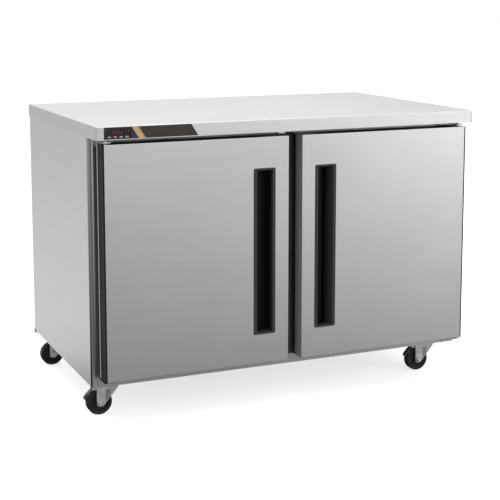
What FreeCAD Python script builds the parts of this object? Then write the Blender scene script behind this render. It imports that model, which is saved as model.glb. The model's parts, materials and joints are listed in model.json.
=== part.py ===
"""Two-door undercounter refrigerator on swivel casters, as a parametric FreeCAD document.

Frame: X to the right, Y to the back, Z up. The origin is on the floor, under the middle of the worktop.
Lengths are millimetres. Every driving dimension is a cell of the sheet "dims".
"""

import FreeCAD
import Part
import math
import os
import re
import Sketcher

DIMENSIONS = {
    # worktop: a folded stainless pan
    "top_width": 1219.2,
    "top_depth": 762.0,
    "overall_height": 863.6,
    "top_thickness": 38.0,
    "top_gauge": 1.5,
    "top_hem": 14.0,
    "top_edge": 2.0,
    # cabinet shell
    "caster_height": 101.6,
    "side_inset": 3.0,
    "back_inset": 3.0,
    "front_overhang": 80.0,
    "panel_gauge": 1.2,
    "frame_return": 18.0,
    "seam_gap": 1.5,
    "bend_radius": 1.5,
    "base_gauge": 1.6,
    "tab_arm": 16.0,
    "tab_gauge": 3.0,
    "tab_drop": 7.0,
    # storage space
    "wall_thickness": 52.0,
    "liner_gauge": 1.0,
    "floor_height": 172.6,
    "ceiling_height": 775.6,
    "step_y": 78.0,
    "step_height": 430.0,
    "rear_wall_y": 328.0,
    "mullion_half": 54.0,
    "mullion_depth": 45.0,
    "mullion_cover_half": 30.0,
    "mullion_cover_low": 30.0,
    "mullion_cover_top": 12.0,
    "cover_proud": 2.4,
    # machine space behind and below the step
    "machine_front": 128.0,
    "machine_top": 380.0,
    "slot_low": 132.0,
    "slot_length": 220.0,
    "slot_width": 7.0,
    "slot_pitch": 18.0,
    "slot_count": 12.0,
    "slot_first_column": -380.0,
    "slot_column_pitch": 270.0,
    "gland_x": -520.0,
    "gland_z": 150.0,
    "gland_radius": 10.0,
    "gland_flange": 14.0,
    "gland_bore": 4.5,
    "gland_depth": 12.0,
    "gland_proud": 2.6,
    "gland_gap": 0.3,
    # doors
    "door_side": 21.4,
    "door_width": 566.6,
    "door_top_gap": 51.2,
    "door_height": 676.9,
    "door_front": 5.8,
    "door_gauge": 1.0,
    "skin_return": 4.0,
    "edge_depth": 48.2,
    "edge_wall": 3.0,
    "edge_inset": 0.3,
    "liner_rim": 8.0,
    "liner_wall": 2.0,
    "gasket_inset": 14.0,
    "gasket_width": 16.0,
    "gasket_base": 5.0,
    "gasket_bellows": 8.7,
    "gasket_taper": 2.5,
    # hinges
    "pivot_in": 13.0,
    "pivot_back": 20.0,
    "pin_radius": 4.0,
    "pin_length": 14.0,
    "pin_head": 7.0,
    "pin_head_height": 2.0,
    "bush_radius": 7.0,
    "bush_length": 16.0,
    "running_gap": 0.05,
    "bracket_gauge": 3.0,
    "bracket_out": 15.0,
    "bracket_in": 15.0,
    "bracket_nose": 12.0,
    "bracket_gap": 3.6,
    "bracket_corner": 6.0,
    "leaf_length": 26.0,
    "leaf_gap": 0.4,
    # recessed pulls
    "pull_latch_edge": 43.5,
    "pull_width": 69.5,
    "pull_low": 224.6,
    "pull_length": 496.5,
    "pull_proud": 1.8,
    "pull_depth": 40.0,
    "pull_rim": 9.5,
    "pull_rim_end": 6.0,
    "pull_wall": 2.4,
    "pull_corner": 5.0,
    "pull_flange": 3.5,
    "lip_depth": 17.2,
    "lip_undercut": 3.5,
    "trough_corner": 6.0,
    "slope_foot": 18.0,
    "slope_turn": 6.0,
    "slope_turn_depth": 14.0,
    # label, display and keys on the apron
    "label_left": 23.8,
    "label_top": 2.6,
    "label_height": 33.2,
    "label_length": 256.0,
    "label_slant": 21.0,
    "label_gauge": 0.8,
    "lens_left": 26.6,
    "lens_width": 76.0,
    "lens_top": 5.0,
    "lens_height": 28.5,
    "lens_proud": 0.2,
    "lens_gap": 0.15,
    "window_border": 3.0,
    "window_low_border": 1.2,
    "key_first": 38.6,
    "key_pitch": 17.0,
    "key_width": 9.0,
    "key_tall": 3.6,
    "key_depth": 8.0,
    "key_proud": 0.5,
    "key_gap": 0.25,
    "key_drop": 29.6,
    "housing_width": 104.0,
    "housing_depth": 62.0,
    "housing_wall": 2.0,
    "housing_gap": 0.5,
    # casters
    "wheel_radius": 38.1,
    "wheel_half": 12.0,
    "hub_half": 13.6,
    "hub_radius": 10.0,
    "web_half": 4.5,
    "rim_radius": 26.0,
    "tread_fillet": 4.0,
    "hub_taper": 2.0,
    "bead_step": 1.5,
    "bead_rise": 2.5,
    "axle_radius": 4.0,
    "swivel_inset": 70.0,
    "swivel_front": 148.0,
    "swivel_rear": 683.0,
    "swivel_offset": 30.0,
    "fork_inner": 14.5,
    "fork_gauge": 3.0,
    "crown_height": 82.0,
    "crown_back": 44.0,
    "crown_front": 26.0,
    "leg_half": 10.0,
    "leg_front": 9.0,
    "leg_drop": 11.5,
    "leg_fillet": 8.5,
    "race_radius": 24.0,
    "upper_race_radius": 26.0,
    "race_height": 6.0,
    "race_gap": 0.6,
    "kingpin_radius": 6.0,
    "kingpin_head": 9.0,
    "kingpin_head_height": 3.4,
    "plate_length": 92.0,
    "plate_width": 66.0,
    "plate_gauge": 3.0,
    "bolt_x": 36.0,
    "bolt_y": 23.0,
    "bolt_flat": 6.5,
    "bolt_head": 5.4,
    # pan-head screws of the brackets, the frame and the back
    "screw_radius": 4.0,
    "screw_head": 2.0,
    "bracket_screw_out": 9.0,
    "bracket_screw_in": 9.0,
    "bracket_screw_drop": 18.0,
    "bracket_screw_low": 19.0,
    "frame_screw_in": 84.0,
    "frame_screw_drop": 8.0,
    "back_screw_out": 580.0,
    "back_screw_in": 193.0,
    "back_screw_margin": 14.0,
    # brake pedals
    "pedal_pivot_back": 17.0,
    "pedal_pivot_up": 41.0,
    "pedal_pin": 1.6,
    "pedal_knuckle": 3.4,
    "pedal_half": 9.0,
    "pedal_ear": 2.0,
    "pedal_play": 0.5,
    "ear_back": 4.5,
    "ear_front": 9.0,
    "ear_low": 3.0,
    "strap_inner": 42.0,
    "strap_outer": 44.2,
    "shoe_inner": 38.7,
    "tab_outer": 46.0,
    # shelves
    "shelf_height": 474.0,
    "shelf_front": -236.0,
    "shelf_back": 316.0,
    "shelf_out": 545.0,
    "shelf_in": 8.0,
    "wire_radius": 2.2,
    "frame_wire": 3.5,
    "wire_count": 20.0,
    "wire_bite": 0.8,
    "standard_width": 20.0,
    "standard_gauge": 4.0,
    "standard_front": -240.0,
    "standard_rear": 290.0,
    "standard_low": 190.0,
    "standard_step_low": 440.0,
    "standard_high": 760.0,
    "standard_rear_high": 600.0,
    "hole_half": 2.0,
    "hole_length": 12.0,
    "hole_pitch": 25.0,
    "clip_reach": 15.0,
    "clip_height": 9.0,
    "clip_width": 16.0,
    "clip_inset": 2.0,
    "middle_clip_half": 24.0,
    # refrigeration
    "cover_half": 330.0,
    "cover_front": 228.0,
    "cover_low": 612.0,
    "cover_gauge": 1.2,
    "outlet_out": 300.0,
    "outlet_length": 150.0,
    "outlet_low": 640.0,
    "outlet_height": 6.0,
    "outlet_count": 7.0,
    "outlet_pitch": 18.0,
    "fin_gauge": 1.0,
    "end_plate_gauge": 2.0,
    "tube_radius": 4.8,
    "tube_overhang": 12.0,
    "evap_coil_left": -250.0,
    "evap_coil_right": 250.0,
    "evap_coil_front": 288.0,
    "evap_coil_back": 322.0,
    "evap_coil_low": 626.0,
    "evap_coil_high": 762.0,
    "evap_coil_pitch": 20.0,
    "cond_coil_left": 60.0,
    "cond_coil_right": 420.0,
    "cond_coil_front": 292.0,
    "cond_coil_back": 342.0,
    "cond_coil_low": 112.0,
    "cond_coil_high": 350.0,
    "cond_coil_pitch": 15.0,
    "shaft_radius": 3.0,
    "fan_ring_gap": 6.0,
    "blade_gauge": 1.6,
    "blade_chord": 0.48,
    "blade_pitch": 32.0,
    "blade_root": 3.0,
    "bar_half": 8.0,
    "bar_gauge": 3.0,
    "evap_fan_x": 0.0,
    "evap_fan_y": 236.0,
    "evap_fan_z": 693.8,
    "evap_fan_radius": 62.0,
    "evap_fan_hub": 14.0,
    "evap_fan_depth": 12.0,
    "evap_fan_shaft_y": 238.0,
    "evap_fan_can_y": 254.0,
    "evap_fan_bar_y": 280.0,
    "evap_fan_can": 24.0,
    "evap_fan_arm": 60.0,
    "cond_fan_x": 240.0,
    "cond_fan_y": 232.0,
    "cond_fan_z": 231.0,
    "cond_fan_radius": 98.0,
    "cond_fan_hub": 18.0,
    "cond_fan_depth": 16.0,
    "cond_fan_shaft_y": 238.0,
    "cond_fan_can_y": 256.0,
    "cond_fan_bar_y": 284.0,
    "cond_fan_can": 30.0,
    "cond_fan_arm": 110.0,
    "compressor_x": -380.0,
    "compressor_y": 252.0,
    "compressor_radius": 82.0,
    "compressor_height": 158.0,
    "compressor_dome": 34.0,
    "foot_half_x": 95.0,
    "foot_half_y": 88.0,
    "foot_gauge": 4.0,
    "terminal_in": 60.0,
    "terminal_out": 108.0,
    "terminal_half": 26.0,
    "terminal_low": 40.0,
    "terminal_height": 60.0,
    "tray_left": -240.0,
    "tray_right": -40.0,
    "tray_front": 170.0,
    "tray_back": 340.0,
    "tray_height": 46.0,
    "tray_wall": 2.5,
    "tray_gap": 0.5,
    "drier_radius": 11.0,
    "drier_length": 80.0,
}

# Places that several pieces share, as expressions over the sheet's cells.
LEFT = "(-top_width / 2)"
FRONT = "(-top_depth / 2)"
UNDERSIDE = "(overall_height - top_thickness)"
BODY_X = "(top_width / 2 - side_inset)"
INNER_X = "(top_width / 2 - side_inset - panel_gauge)"
FRAME_Y = "(front_overhang - top_depth / 2)"
BEHIND_FRAME = "(front_overhang - top_depth / 2 + panel_gauge)"
BACK_Y = "(top_depth / 2 - back_inset)"
INSIDE_BACK = "(top_depth / 2 - back_inset - panel_gauge)"
BASE_Z = "(caster_height)"
ABOVE_BASE = "(caster_height + base_gauge)"
CAVITY_X = "(top_width / 2 - side_inset - wall_thickness)"
DOOR_Y = "(door_front - top_depth / 2)"
DOOR_TOP = "(overall_height - door_top_gap)"
DOOR_LOW = "(overall_height - door_top_gap - door_height)"
EDGE_Y = "(door_front - top_depth / 2 + skin_return)"
RIM_Y = "(door_front - top_depth / 2 + skin_return + edge_depth)"
DOOR_BACK = "(door_front - top_depth / 2 + skin_return + edge_depth + liner_rim)"
DOOR_OUT = "(top_width / 2 - door_side)"
DOOR_IN = "(top_width / 2 - door_side - door_width)"
PIVOT_X = "(top_width / 2 - door_side - pivot_in)"
PIVOT_Y = "(door_front + pivot_back - top_depth / 2)"

# Corners of the copper lines, and each line's radius.
DISCHARGE_LINE = [(-300, 232, 215), (-262, 232, 215), (-262, 232, 330), (60, 232, 330)]
DISCHARGE_RADIUS = 4.0
SUCTION_LINE = [(-440, 190, 262), (-440, 160, 262), (-440, 160, 340), (-500, 160, 340), (-500, 160, 380)]
SUCTION_RADIUS = 5.0
LIQUID_LINE = [(20, 205, 140), (20, 205, 210), (20, 160, 210), (20, 160, 380)]
LIQUID_RADIUS = 3.2
DRIER_START = ("20", "160", "250")

SIDES = {"left": -1, "right": 1}
ENDS = {"front": "swivel_front", "rear": "swivel_rear"}
KEYS = ["key_set", "key_up", "key_down", "key_light"]
SLOT_COLUMNS = 3
FAN_BLADES = 5
TUBE_ROWS = 4
NEAR = 1e-3

# plane name: (role in the body's origin, sign of the sketch normal along its world axis)
PLANES = {"XY": ("XY_Plane", 1), "XZ": ("XZ_Plane", -1), "YZ": ("YZ_Plane", 1)}

doc = FreeCAD.newDocument("undercounter_refrigerator")
parts = {}


# ---------------------------------------------------------------- sheet and expressions


def make_sheet():
    """Puts every driving dimension in a cell with an alias."""
    sheet = doc.addObject("Spreadsheet::Sheet", "dims")
    for row, (name, value) in enumerate(DIMENSIONS.items(), start=1):
        sheet.set("A%d" % row, name)
        sheet.set("B%d" % row, str(value))
        sheet.setAlias("B%d" % row, name)
    doc.recompute()
    return sheet


def bound(text):
    """The expression with each cell's alias written as dims.alias."""
    return re.sub(r"[a-z][a-z_]*\b(?!\()", r"dims.\g<0>", str(text))


def bind(thing, **sizes):
    for name, text in sizes.items():
        thing.setExpression(name.replace("__", "."), bound(text))
    return thing


def signed(sign, text):
    return "(%d * %s)" % (sign, text)


# ---------------------------------------------------------------- sketches and features


def new_body(label, x="0", y="0", z="0"):
    """A PartDesign body whose placement is bound to the sheet."""
    body = doc.addObject("PartDesign::Body", label)
    body.Label = label
    return bind(body, Placement__Base__x=x, Placement__Base__y=y, Placement__Base__z=z)


def origin_plane(body, plane):
    role = PLANES[plane][0]
    return next(f for f in body.Origin.OriginFeatures if f.Role == role)


def sketch(body, plane, level, loops):
    """A sketch parallel to an origin plane, at a level along that plane's world axis."""
    drawn = body.newObject("Sketcher::SketchObject", body.Name + "_sketch")
    drawn.AttachmentSupport = [(origin_plane(body, plane), "")]
    drawn.MapMode = "FlatFace"
    bind(drawn, AttachmentOffset__Base__z=signed(PLANES[plane][1], "(%s)" % level))
    for loop in loops:
        if isinstance(loop, dict):
            draw_circle(drawn, loop)
        else:
            draw_polygon(drawn, loop)
    return drawn


def draw_circle(drawn, loop):
    centre = FreeCAD.Vector(0, 0, 0)
    index = drawn.addGeometry(Part.Circle(centre, FreeCAD.Vector(0, 0, 1), 1), False)
    for kind, text in (("DistanceX", loop["x"]), ("DistanceY", loop["y"])):
        pin = drawn.addConstraint(Sketcher.Constraint(kind, index, 3, 0.5))
        drawn.setExpression("Constraints[%d]" % pin, bound(text))
    size = drawn.addConstraint(Sketcher.Constraint("Radius", index, 1))
    drawn.setExpression("Constraints[%d]" % size, bound(loop["radius"]))


def draw_polygon(drawn, points):
    """Straight edges through the points, each point held by its two coordinates."""
    count = len(points)
    ring = []
    for i in range(count):
        angle = 2 * math.pi * i / count
        ring.append(FreeCAD.Vector(10 * math.cos(angle), 10 * math.sin(angle), 0))
    lines = [Part.LineSegment(ring[i], ring[(i + 1) % count]) for i in range(count)]
    first = drawn.addGeometry(lines, False)[0]
    for i, (x, y) in enumerate(points):
        line = first + i
        after = first + (i + 1) % count
        drawn.addConstraint(Sketcher.Constraint("Coincident", line, 2, after, 1))
        for kind, text, start in (("DistanceX", x, ring[i].x), ("DistanceY", y, ring[i].y)):
            pin = drawn.addConstraint(Sketcher.Constraint(kind, line, 1, start))
            drawn.setExpression("Constraints[%d]" % pin, bound(text))


def rectangle(x_low, y_low, x_high, y_high):
    return [(x_low, y_low), (x_high, y_low), (x_high, y_high), (x_low, y_high)]


def circle(x, y, radius):
    return {"x": x, "y": y, "radius": radius}


def pad(body, plane, low, length, *loops):
    """Adds material from the level low, by length towards the plane's positive world axis."""
    feature = body.newObject("PartDesign::Pad", body.Name + "_pad")
    feature.Profile = sketch(body, plane, low, loops)
    feature.Reversed = PLANES[plane][1] < 0
    return bind(feature, Length=length)


def pocket(body, plane, low, length, *loops):
    """Removes material from the level low, by length towards the plane's positive world axis."""
    feature = body.newObject("PartDesign::Pocket", body.Name + "_pocket")
    feature.Profile = sketch(body, plane, low, loops)
    feature.Reversed = PLANES[plane][1] > 0
    return bind(feature, Length=length)


def revolve(body, plane, axis, points):
    """Turns a closed outline about one of its sketch's own axes."""
    feature = body.newObject("PartDesign::Revolution", body.Name + "_turned")
    feature.Profile = sketch(body, plane, "0", [points])
    feature.ReferenceAxis = (feature.Profile[0], [axis])
    feature.Angle = 360
    return feature


def repeat(body, feature, direction, length, occurrences):
    """Copies a feature in a row along one of its sketch's own axes."""
    pattern = body.newObject("PartDesign::LinearPattern", body.Name + "_row")
    pattern.Originals = [feature]
    pattern.Direction = (feature.Profile[0], [direction])
    bind(pattern, Length=length)
    pattern.Occurrences = occurrences
    body.Tip = pattern
    return pattern


def round_edges(body, radius, chosen):
    """A fillet on the edges of the body's tip for which chosen(edge) holds."""
    doc.recompute()
    base = body.Tip
    names = ["Edge%d" % (i + 1) for i, e in enumerate(base.Shape.Edges) if chosen(e)]
    feature = body.newObject("PartDesign::Fillet", body.Name + "_fillet")
    feature.Base = (base, names)
    return bind(feature, Radius=radius)


def along(edge, axis):
    """Whether a straight edge runs along the given axis, 0 for X, 1 for Y and 2 for Z."""
    if not isinstance(edge.Curve, Part.Line):
        return False
    return abs(abs(edge.Curve.Direction[axis]) - 1) < 1e-6


def middle(edge):
    return edge.BoundBox.Center


# ---------------------------------------------------------------- primitives


def block(name, low, high):
    """A Part::Box between two corners given as expressions."""
    solid = doc.addObject("Part::Box", name)
    spans = dict(zip(("Length", "Width", "Height"), zip(low, high)))
    bind(solid, **{size: "(%s) - (%s)" % (b, a) for size, (a, b) in spans.items()})
    return bind(solid, Placement__Base__x=low[0], Placement__Base__y=low[1], Placement__Base__z=low[2])


def rod(name, axis, start, radius, length):
    """A Part::Cylinder from start towards +X, +Y or +Z."""
    solid = doc.addObject("Part::Cylinder", name)
    turns = {"X": (0, 90, 0), "Y": (0, 0, -90), "Z": (0, 0, 0)}
    solid.Placement = FreeCAD.Placement(FreeCAD.Vector(), FreeCAD.Rotation(*turns[axis]))
    bind(solid, Radius=radius, Height=length)
    return bind(solid, Placement__Base__x=start[0], Placement__Base__y=start[1], Placement__Base__z=start[2])


def fuse(name, members):
    joined = doc.addObject("Part::MultiFuse", name)
    joined.Shapes = members
    return joined


def cut(name, base, tool):
    left = doc.addObject("Part::Cut", name)
    left.Base = base
    left.Tool = tool
    return left


def group(name, members):
    """Separate solids that share one node."""
    together = doc.addObject("Part::Compound", name)
    together.Links = members
    return together


def keep(label, made):
    """Names the object after its node and lists it for the export."""
    made.Label = label
    parts[label] = made
    return made


# ---------------------------------------------------------------- worktop and shell


def make_worktop():
    body = new_body("worktop")
    half_x = "top_width / 2"
    half_y = "top_depth / 2"
    pad(
        body, "XY", UNDERSIDE, "top_thickness",
        rectangle(LEFT, FRONT, half_x, half_y),
    )
    top = DIMENSIONS["overall_height"]
    round_edges(
        body, "top_edge",
        lambda e: along(e, 2) or abs(middle(e).z - top) < NEAR,
    )
    for inset, low, length in (
        ("top_hem", UNDERSIDE, "top_gauge"),
        ("top_gauge", UNDERSIDE + " + top_gauge", "top_thickness - 2 * top_gauge"),
    ):
        pocket(
            body, "XY", low, length,
            rectangle(
                "%s + %s" % (LEFT, inset), "%s + %s" % (FRONT, inset),
                "%s - %s" % (half_x, inset), "%s - %s" % (half_y, inset),
            ),
        )
    # window in the front apron for the display and the key stems
    window_left = "%s + lens_left + window_border" % LEFT
    window_top = "overall_height - lens_top - window_border"
    pocket(
        body, "XZ", FRONT + " - 1", "top_gauge + 2",
        rectangle(
            window_left,
            "overall_height - lens_top - lens_height + window_low_border",
            "%s + lens_left + lens_width - window_border" % LEFT,
            window_top,
        ),
    )
    keep("worktop", body)


def make_side_panels():
    for side, sign in SIDES.items():
        body = new_body("side_panel_" + side)
        low = signed(-1, BODY_X) if sign < 0 else INNER_X
        pad(
            body, "YZ", low, "panel_gauge",
            rectangle(FRAME_Y + " + frame_return + seam_gap", BASE_Z, BACK_Y, UNDERSIDE),
        )
        keep("side_panel_" + side, body)


def make_back():
    body = new_body("back_panel")
    inner_left = signed(-1, INNER_X)
    pad(
        body, "XZ", INSIDE_BACK, "panel_gauge",
        rectangle(inner_left, "machine_top", INNER_X, UNDERSIDE),
    )
    keep("back_panel", body)

    grille = new_body("rear_grille")
    pad(
        grille, "XZ", INSIDE_BACK, "panel_gauge",
        rectangle(inner_left, ABOVE_BASE, INNER_X, "machine_top - 1"),
        circle("gland_x", "gland_z", "gland_radius + gland_gap"),
    )
    for index in range(SLOT_COLUMNS):
        column = "slot_first_column + %d * slot_column_pitch" % index
        slot = pocket(
            grille, "XZ", INSIDE_BACK + " - 1", "panel_gauge + 2",
            rectangle(column, "slot_low", column + " + slot_length", "slot_low + slot_width"),
        )
        count = int(DIMENSIONS["slot_count"])
        repeat(grille, slot, "V_Axis", "slot_pitch * (slot_count - 1)", count)
    keep("rear_grille", grille)


def make_base():
    body = new_body("base_pan")
    inner_left = signed(-1, INNER_X)
    pad(
        body, "XY", BASE_Z, "base_gauge",
        rectangle(inner_left, BEHIND_FRAME, INNER_X, INSIDE_BACK),
    )
    for sign in SIDES.values():
        edge = signed(sign, INNER_X)
        inner = signed(sign, "(%s - tab_gauge)" % INNER_X)
        tip = signed(sign, "(%s - tab_arm)" % INNER_X)
        pad(
            body, "XY", BASE_Z + " - tab_drop", "tab_drop",
            [
                (edge, INSIDE_BACK + " - tab_arm"),
                (edge, INSIDE_BACK),
                (tip, INSIDE_BACK),
                (tip, INSIDE_BACK + " - tab_gauge"),
                (inner, INSIDE_BACK + " - tab_gauge"),
                (inner, INSIDE_BACK + " - tab_arm"),
            ],
        )
    keep("base_pan", body)


def cavity_outline(grow):
    """Side view of the storage space, from the face frame back: shallow below the step, deep above it."""
    return [
        (BEHIND_FRAME, "floor_height - %s" % grow),
        ("step_y + %s" % grow, "floor_height - %s" % grow),
        ("step_y + %s" % grow, "step_height - %s" % grow),
        ("rear_wall_y + %s" % grow, "step_height - %s" % grow),
        ("rear_wall_y + %s" % grow, "ceiling_height + %s" % grow),
        (BEHIND_FRAME, "ceiling_height + %s" % grow),
    ]


def make_foam_and_liner():
    foam = new_body("cabinet_foam")
    outer = [
        (BEHIND_FRAME, ABOVE_BASE),
        ("machine_front", ABOVE_BASE),
        ("machine_front", "machine_top"),
        (INSIDE_BACK, "machine_top"),
        (INSIDE_BACK, UNDERSIDE),
        (BEHIND_FRAME, UNDERSIDE),
    ]
    pad(foam, "YZ", signed(-1, INNER_X), "2 * " + INNER_X, outer)
    liner_left = "-%s - liner_gauge" % CAVITY_X
    liner_span = "2 * (%s + liner_gauge)" % CAVITY_X
    pocket(foam, "YZ", liner_left, liner_span, cavity_outline("liner_gauge"))
    keep("cabinet_foam", foam)

    liner = new_body("inner_liner")
    pad(liner, "YZ", liner_left, liner_span, cavity_outline("liner_gauge"))
    pocket(liner, "YZ", "-" + CAVITY_X, "2 * " + CAVITY_X, cavity_outline("0"))
    keep("inner_liner", liner)


def make_face_frame():
    body = new_body("face_frame")
    pad(
        body, "XZ", FRAME_Y, "panel_gauge",
        rectangle("-" + BODY_X, BASE_Z, BODY_X, UNDERSIDE),
    )
    for sign in SIDES.values():
        pocket(
            body, "XZ", FRAME_Y + " - 1", "panel_gauge + 2",
            rectangle(
                signed(sign, CAVITY_X), "floor_height",
                signed(sign, "mullion_half"), "ceiling_height",
            ),
        )
        low = "-" + BODY_X if sign < 0 else INNER_X
        pad(
            body, "YZ", low, "panel_gauge",
            rectangle(FRAME_Y, BASE_Z, FRAME_Y + " + frame_return", UNDERSIDE),
        )
    front = DIMENSIONS["front_overhang"] - DIMENSIONS["top_depth"] / 2
    outer = DIMENSIONS["top_width"] / 2 - DIMENSIONS["side_inset"]
    round_edges(
        body, "bend_radius",
        lambda e: along(e, 2)
        and abs(abs(middle(e).x) - outer) < NEAR
        and abs(middle(e).y - front) < NEAR,
    )
    keep("face_frame", body)

    post = new_body("mullion_post")
    pad(
        post, "XY", "floor_height", "ceiling_height - floor_height",
        rectangle(
            "-mullion_half", BEHIND_FRAME,
            "mullion_half", BEHIND_FRAME + " + mullion_depth",
        ),
    )
    keep("mullion_post", post)

    cover = new_body("mullion_cover")
    pad(
        cover, "XZ", FRAME_Y + " - cover_proud", "cover_proud",
        rectangle(
            "-mullion_cover_half", BASE_Z + " + mullion_cover_low",
            "mullion_cover_half", UNDERSIDE + " - mullion_cover_top",
        ),
    )
    keep("mullion_cover", cover)


# ---------------------------------------------------------------- control panel


def make_control():
    left = "(%s + label_left)" % LEFT
    top = "(overall_height - label_top)"
    low = "(overall_height - label_top - label_height)"
    label = new_body("label_plate")
    lens_left = "(%s + lens_left)" % LEFT
    lens_right = "(%s + lens_left + lens_width)" % LEFT
    lens_top = "(overall_height - lens_top)"
    lens_low = "(overall_height - lens_top - lens_height)"
    # the right end leans: it is longer at the bottom
    pad(
        label, "XZ", FRONT + " - label_gauge", "label_gauge",
        [
            (left, low),
            (left + " + label_length + label_slant", low),
            (left + " + label_length", top),
            (left, top),
        ],
        rectangle(lens_left, lens_low, lens_right, lens_top),
    )
    keep("label_plate", label)

    lens = new_body("display_lens")
    key_centre = "(overall_height - key_drop)"
    key_holes = []
    for index in range(len(KEYS)):
        centre = "(%s + key_first + %d * key_pitch)" % (LEFT, index)
        key_holes.append(
            rectangle(
                centre + " - key_width / 2 - key_gap",
                key_centre + " - key_tall / 2 - key_gap",
                centre + " + key_width / 2 + key_gap",
                key_centre + " + key_tall / 2 + key_gap",
            )
        )
    pad(
        lens, "XZ", FRONT + " - label_gauge - lens_proud", "label_gauge + lens_proud",
        rectangle(
            lens_left + " + lens_gap", lens_low + " + lens_gap",
            lens_right + " - lens_gap", lens_top + " - lens_gap",
        ),
        *key_holes,
    )
    keep("display_lens", lens)

    for index, name in enumerate(KEYS):
        centre = "(%s + key_first + %d * key_pitch)" % (LEFT, index)
        key = new_body(name)
        key_front = FRONT + " - label_gauge - lens_proud - key_proud"
        pad(
            key, "XZ", key_front, "key_depth",
            rectangle(
                centre + " - key_width / 2", key_centre + " - key_tall / 2",
                centre + " + key_width / 2", key_centre + " + key_tall / 2",
            ),
        )
        keep(name, key)

    housing = new_body("control_housing")
    start = "(%s + top_gauge + housing_gap)" % FRONT
    box_left = "(%s + label_left)" % LEFT
    box_low = "(%s + top_gauge + housing_gap)" % UNDERSIDE
    box_top = "(overall_height - top_gauge - housing_gap)"
    pad(
        housing, "XZ", start, "housing_depth",
        rectangle(box_left, box_low, box_left + " + housing_width", box_top),
    )
    pocket(
        housing, "XZ", start, "housing_depth - housing_wall",
        rectangle(
            box_left + " + housing_wall", box_low + " + housing_wall",
            box_left + " + housing_width - housing_wall", box_top + " - housing_wall",
        ),
    )
    keep("control_housing", housing)


# ---------------------------------------------------------------- doors


def door_rectangle(sign, inset):
    """The door's front view, drawn in by inset on all four sides."""
    return rectangle(
        signed(sign, "(%s - %s)" % (DOOR_OUT, inset)), "%s + %s" % (DOOR_LOW, inset),
        signed(sign, "(%s + %s)" % (DOOR_IN, inset)), "%s - %s" % (DOOR_TOP, inset),
    )


def pull_x(sign, across):
    """X of a point of the recessed pull, measured from its latch-side edge towards the hinge."""
    return signed(sign, "(%s + pull_latch_edge + %s)" % (DOOR_IN, across))


def pull_pocket(body, sign):
    """Room for the pull's housing, which stops inside the flange's outline."""
    pocket(
        body, "XZ", DOOR_Y + " - 1", "pull_depth + 1",
        rectangle(
            pull_x(sign, "pull_flange"), "pull_low + pull_flange",
            pull_x(sign, "(pull_width - pull_flange)"), "pull_low + pull_length - pull_flange",
        ),
    )


def bush_holes(body, sign):
    for low, length in (
        (DOOR_LOW + " - 1", "bush_length + 1"),
        (DOOR_TOP + " - bush_length", "bush_length + 1"),
    ):
        pocket(body, "XY", low, length, circle(signed(sign, PIVOT_X), PIVOT_Y, "bush_radius"))


def make_door(side, sign):
    skin = new_body("door_skin_" + side)
    pad(skin, "XZ", DOOR_Y, "skin_return", door_rectangle(sign, "0"))
    front = DIMENSIONS["door_front"] - DIMENSIONS["top_depth"] / 2
    round_edges(skin, "bend_radius", lambda e: abs(middle(e).y - front) < NEAR or along(e, 1))
    pocket(
        skin, "XZ", DOOR_Y + " + door_gauge", "skin_return",
        door_rectangle(sign, "door_gauge"),
    )
    pull_pocket(skin, sign)
    keep("door_skin_" + side, skin)

    edge = new_body("door_edge_" + side)
    pad(
        edge, "XZ", EDGE_Y, "edge_depth",
        door_rectangle(sign, "edge_inset"),
        door_rectangle(sign, "edge_wall"),
    )
    bush_holes(edge, sign)
    keep("door_edge_" + side, edge)

    foam = new_body("door_foam_" + side)
    pad(
        foam, "XZ", EDGE_Y, "edge_depth",
        door_rectangle(sign, "edge_wall"),
    )
    pad(
        foam, "XZ", DOOR_Y + " + door_gauge", "skin_return - door_gauge",
        door_rectangle(sign, "edge_wall"),
    )
    pad(
        foam, "XZ", RIM_Y, "liner_rim - liner_wall",
        door_rectangle(sign, "edge_wall"),
    )
    pull_pocket(foam, sign)
    bush_holes(foam, sign)
    keep("door_foam_" + side, foam)

    liner = new_body("door_liner_" + side)
    pad(liner, "XZ", RIM_Y, "liner_rim", door_rectangle(sign, "0"))
    back = front + sum(DIMENSIONS[n] for n in ("skin_return", "edge_depth", "liner_rim"))
    round_edges(liner, "bend_radius", lambda e: abs(middle(e).y - back) < NEAR)
    pocket(
        liner, "XZ", RIM_Y, "liner_rim - liner_wall",
        door_rectangle(sign, "edge_wall"),
    )
    keep("door_liner_" + side, liner)

    gasket = new_body("door_gasket_" + side)
    pad(
        gasket, "XZ", DOOR_BACK, "gasket_base",
        door_rectangle(sign, "gasket_inset"),
        door_rectangle(sign, "(gasket_inset + gasket_width)"),
    )
    pad(
        gasket, "XZ", DOOR_BACK + " + gasket_base", "gasket_bellows",
        door_rectangle(sign, "(gasket_inset + gasket_taper)"),
        door_rectangle(sign, "(gasket_inset + gasket_width - gasket_taper)"),
    )
    keep("door_gasket_" + side, gasket)

    make_pull(side, sign)
    make_bushes(side, sign)


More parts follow.
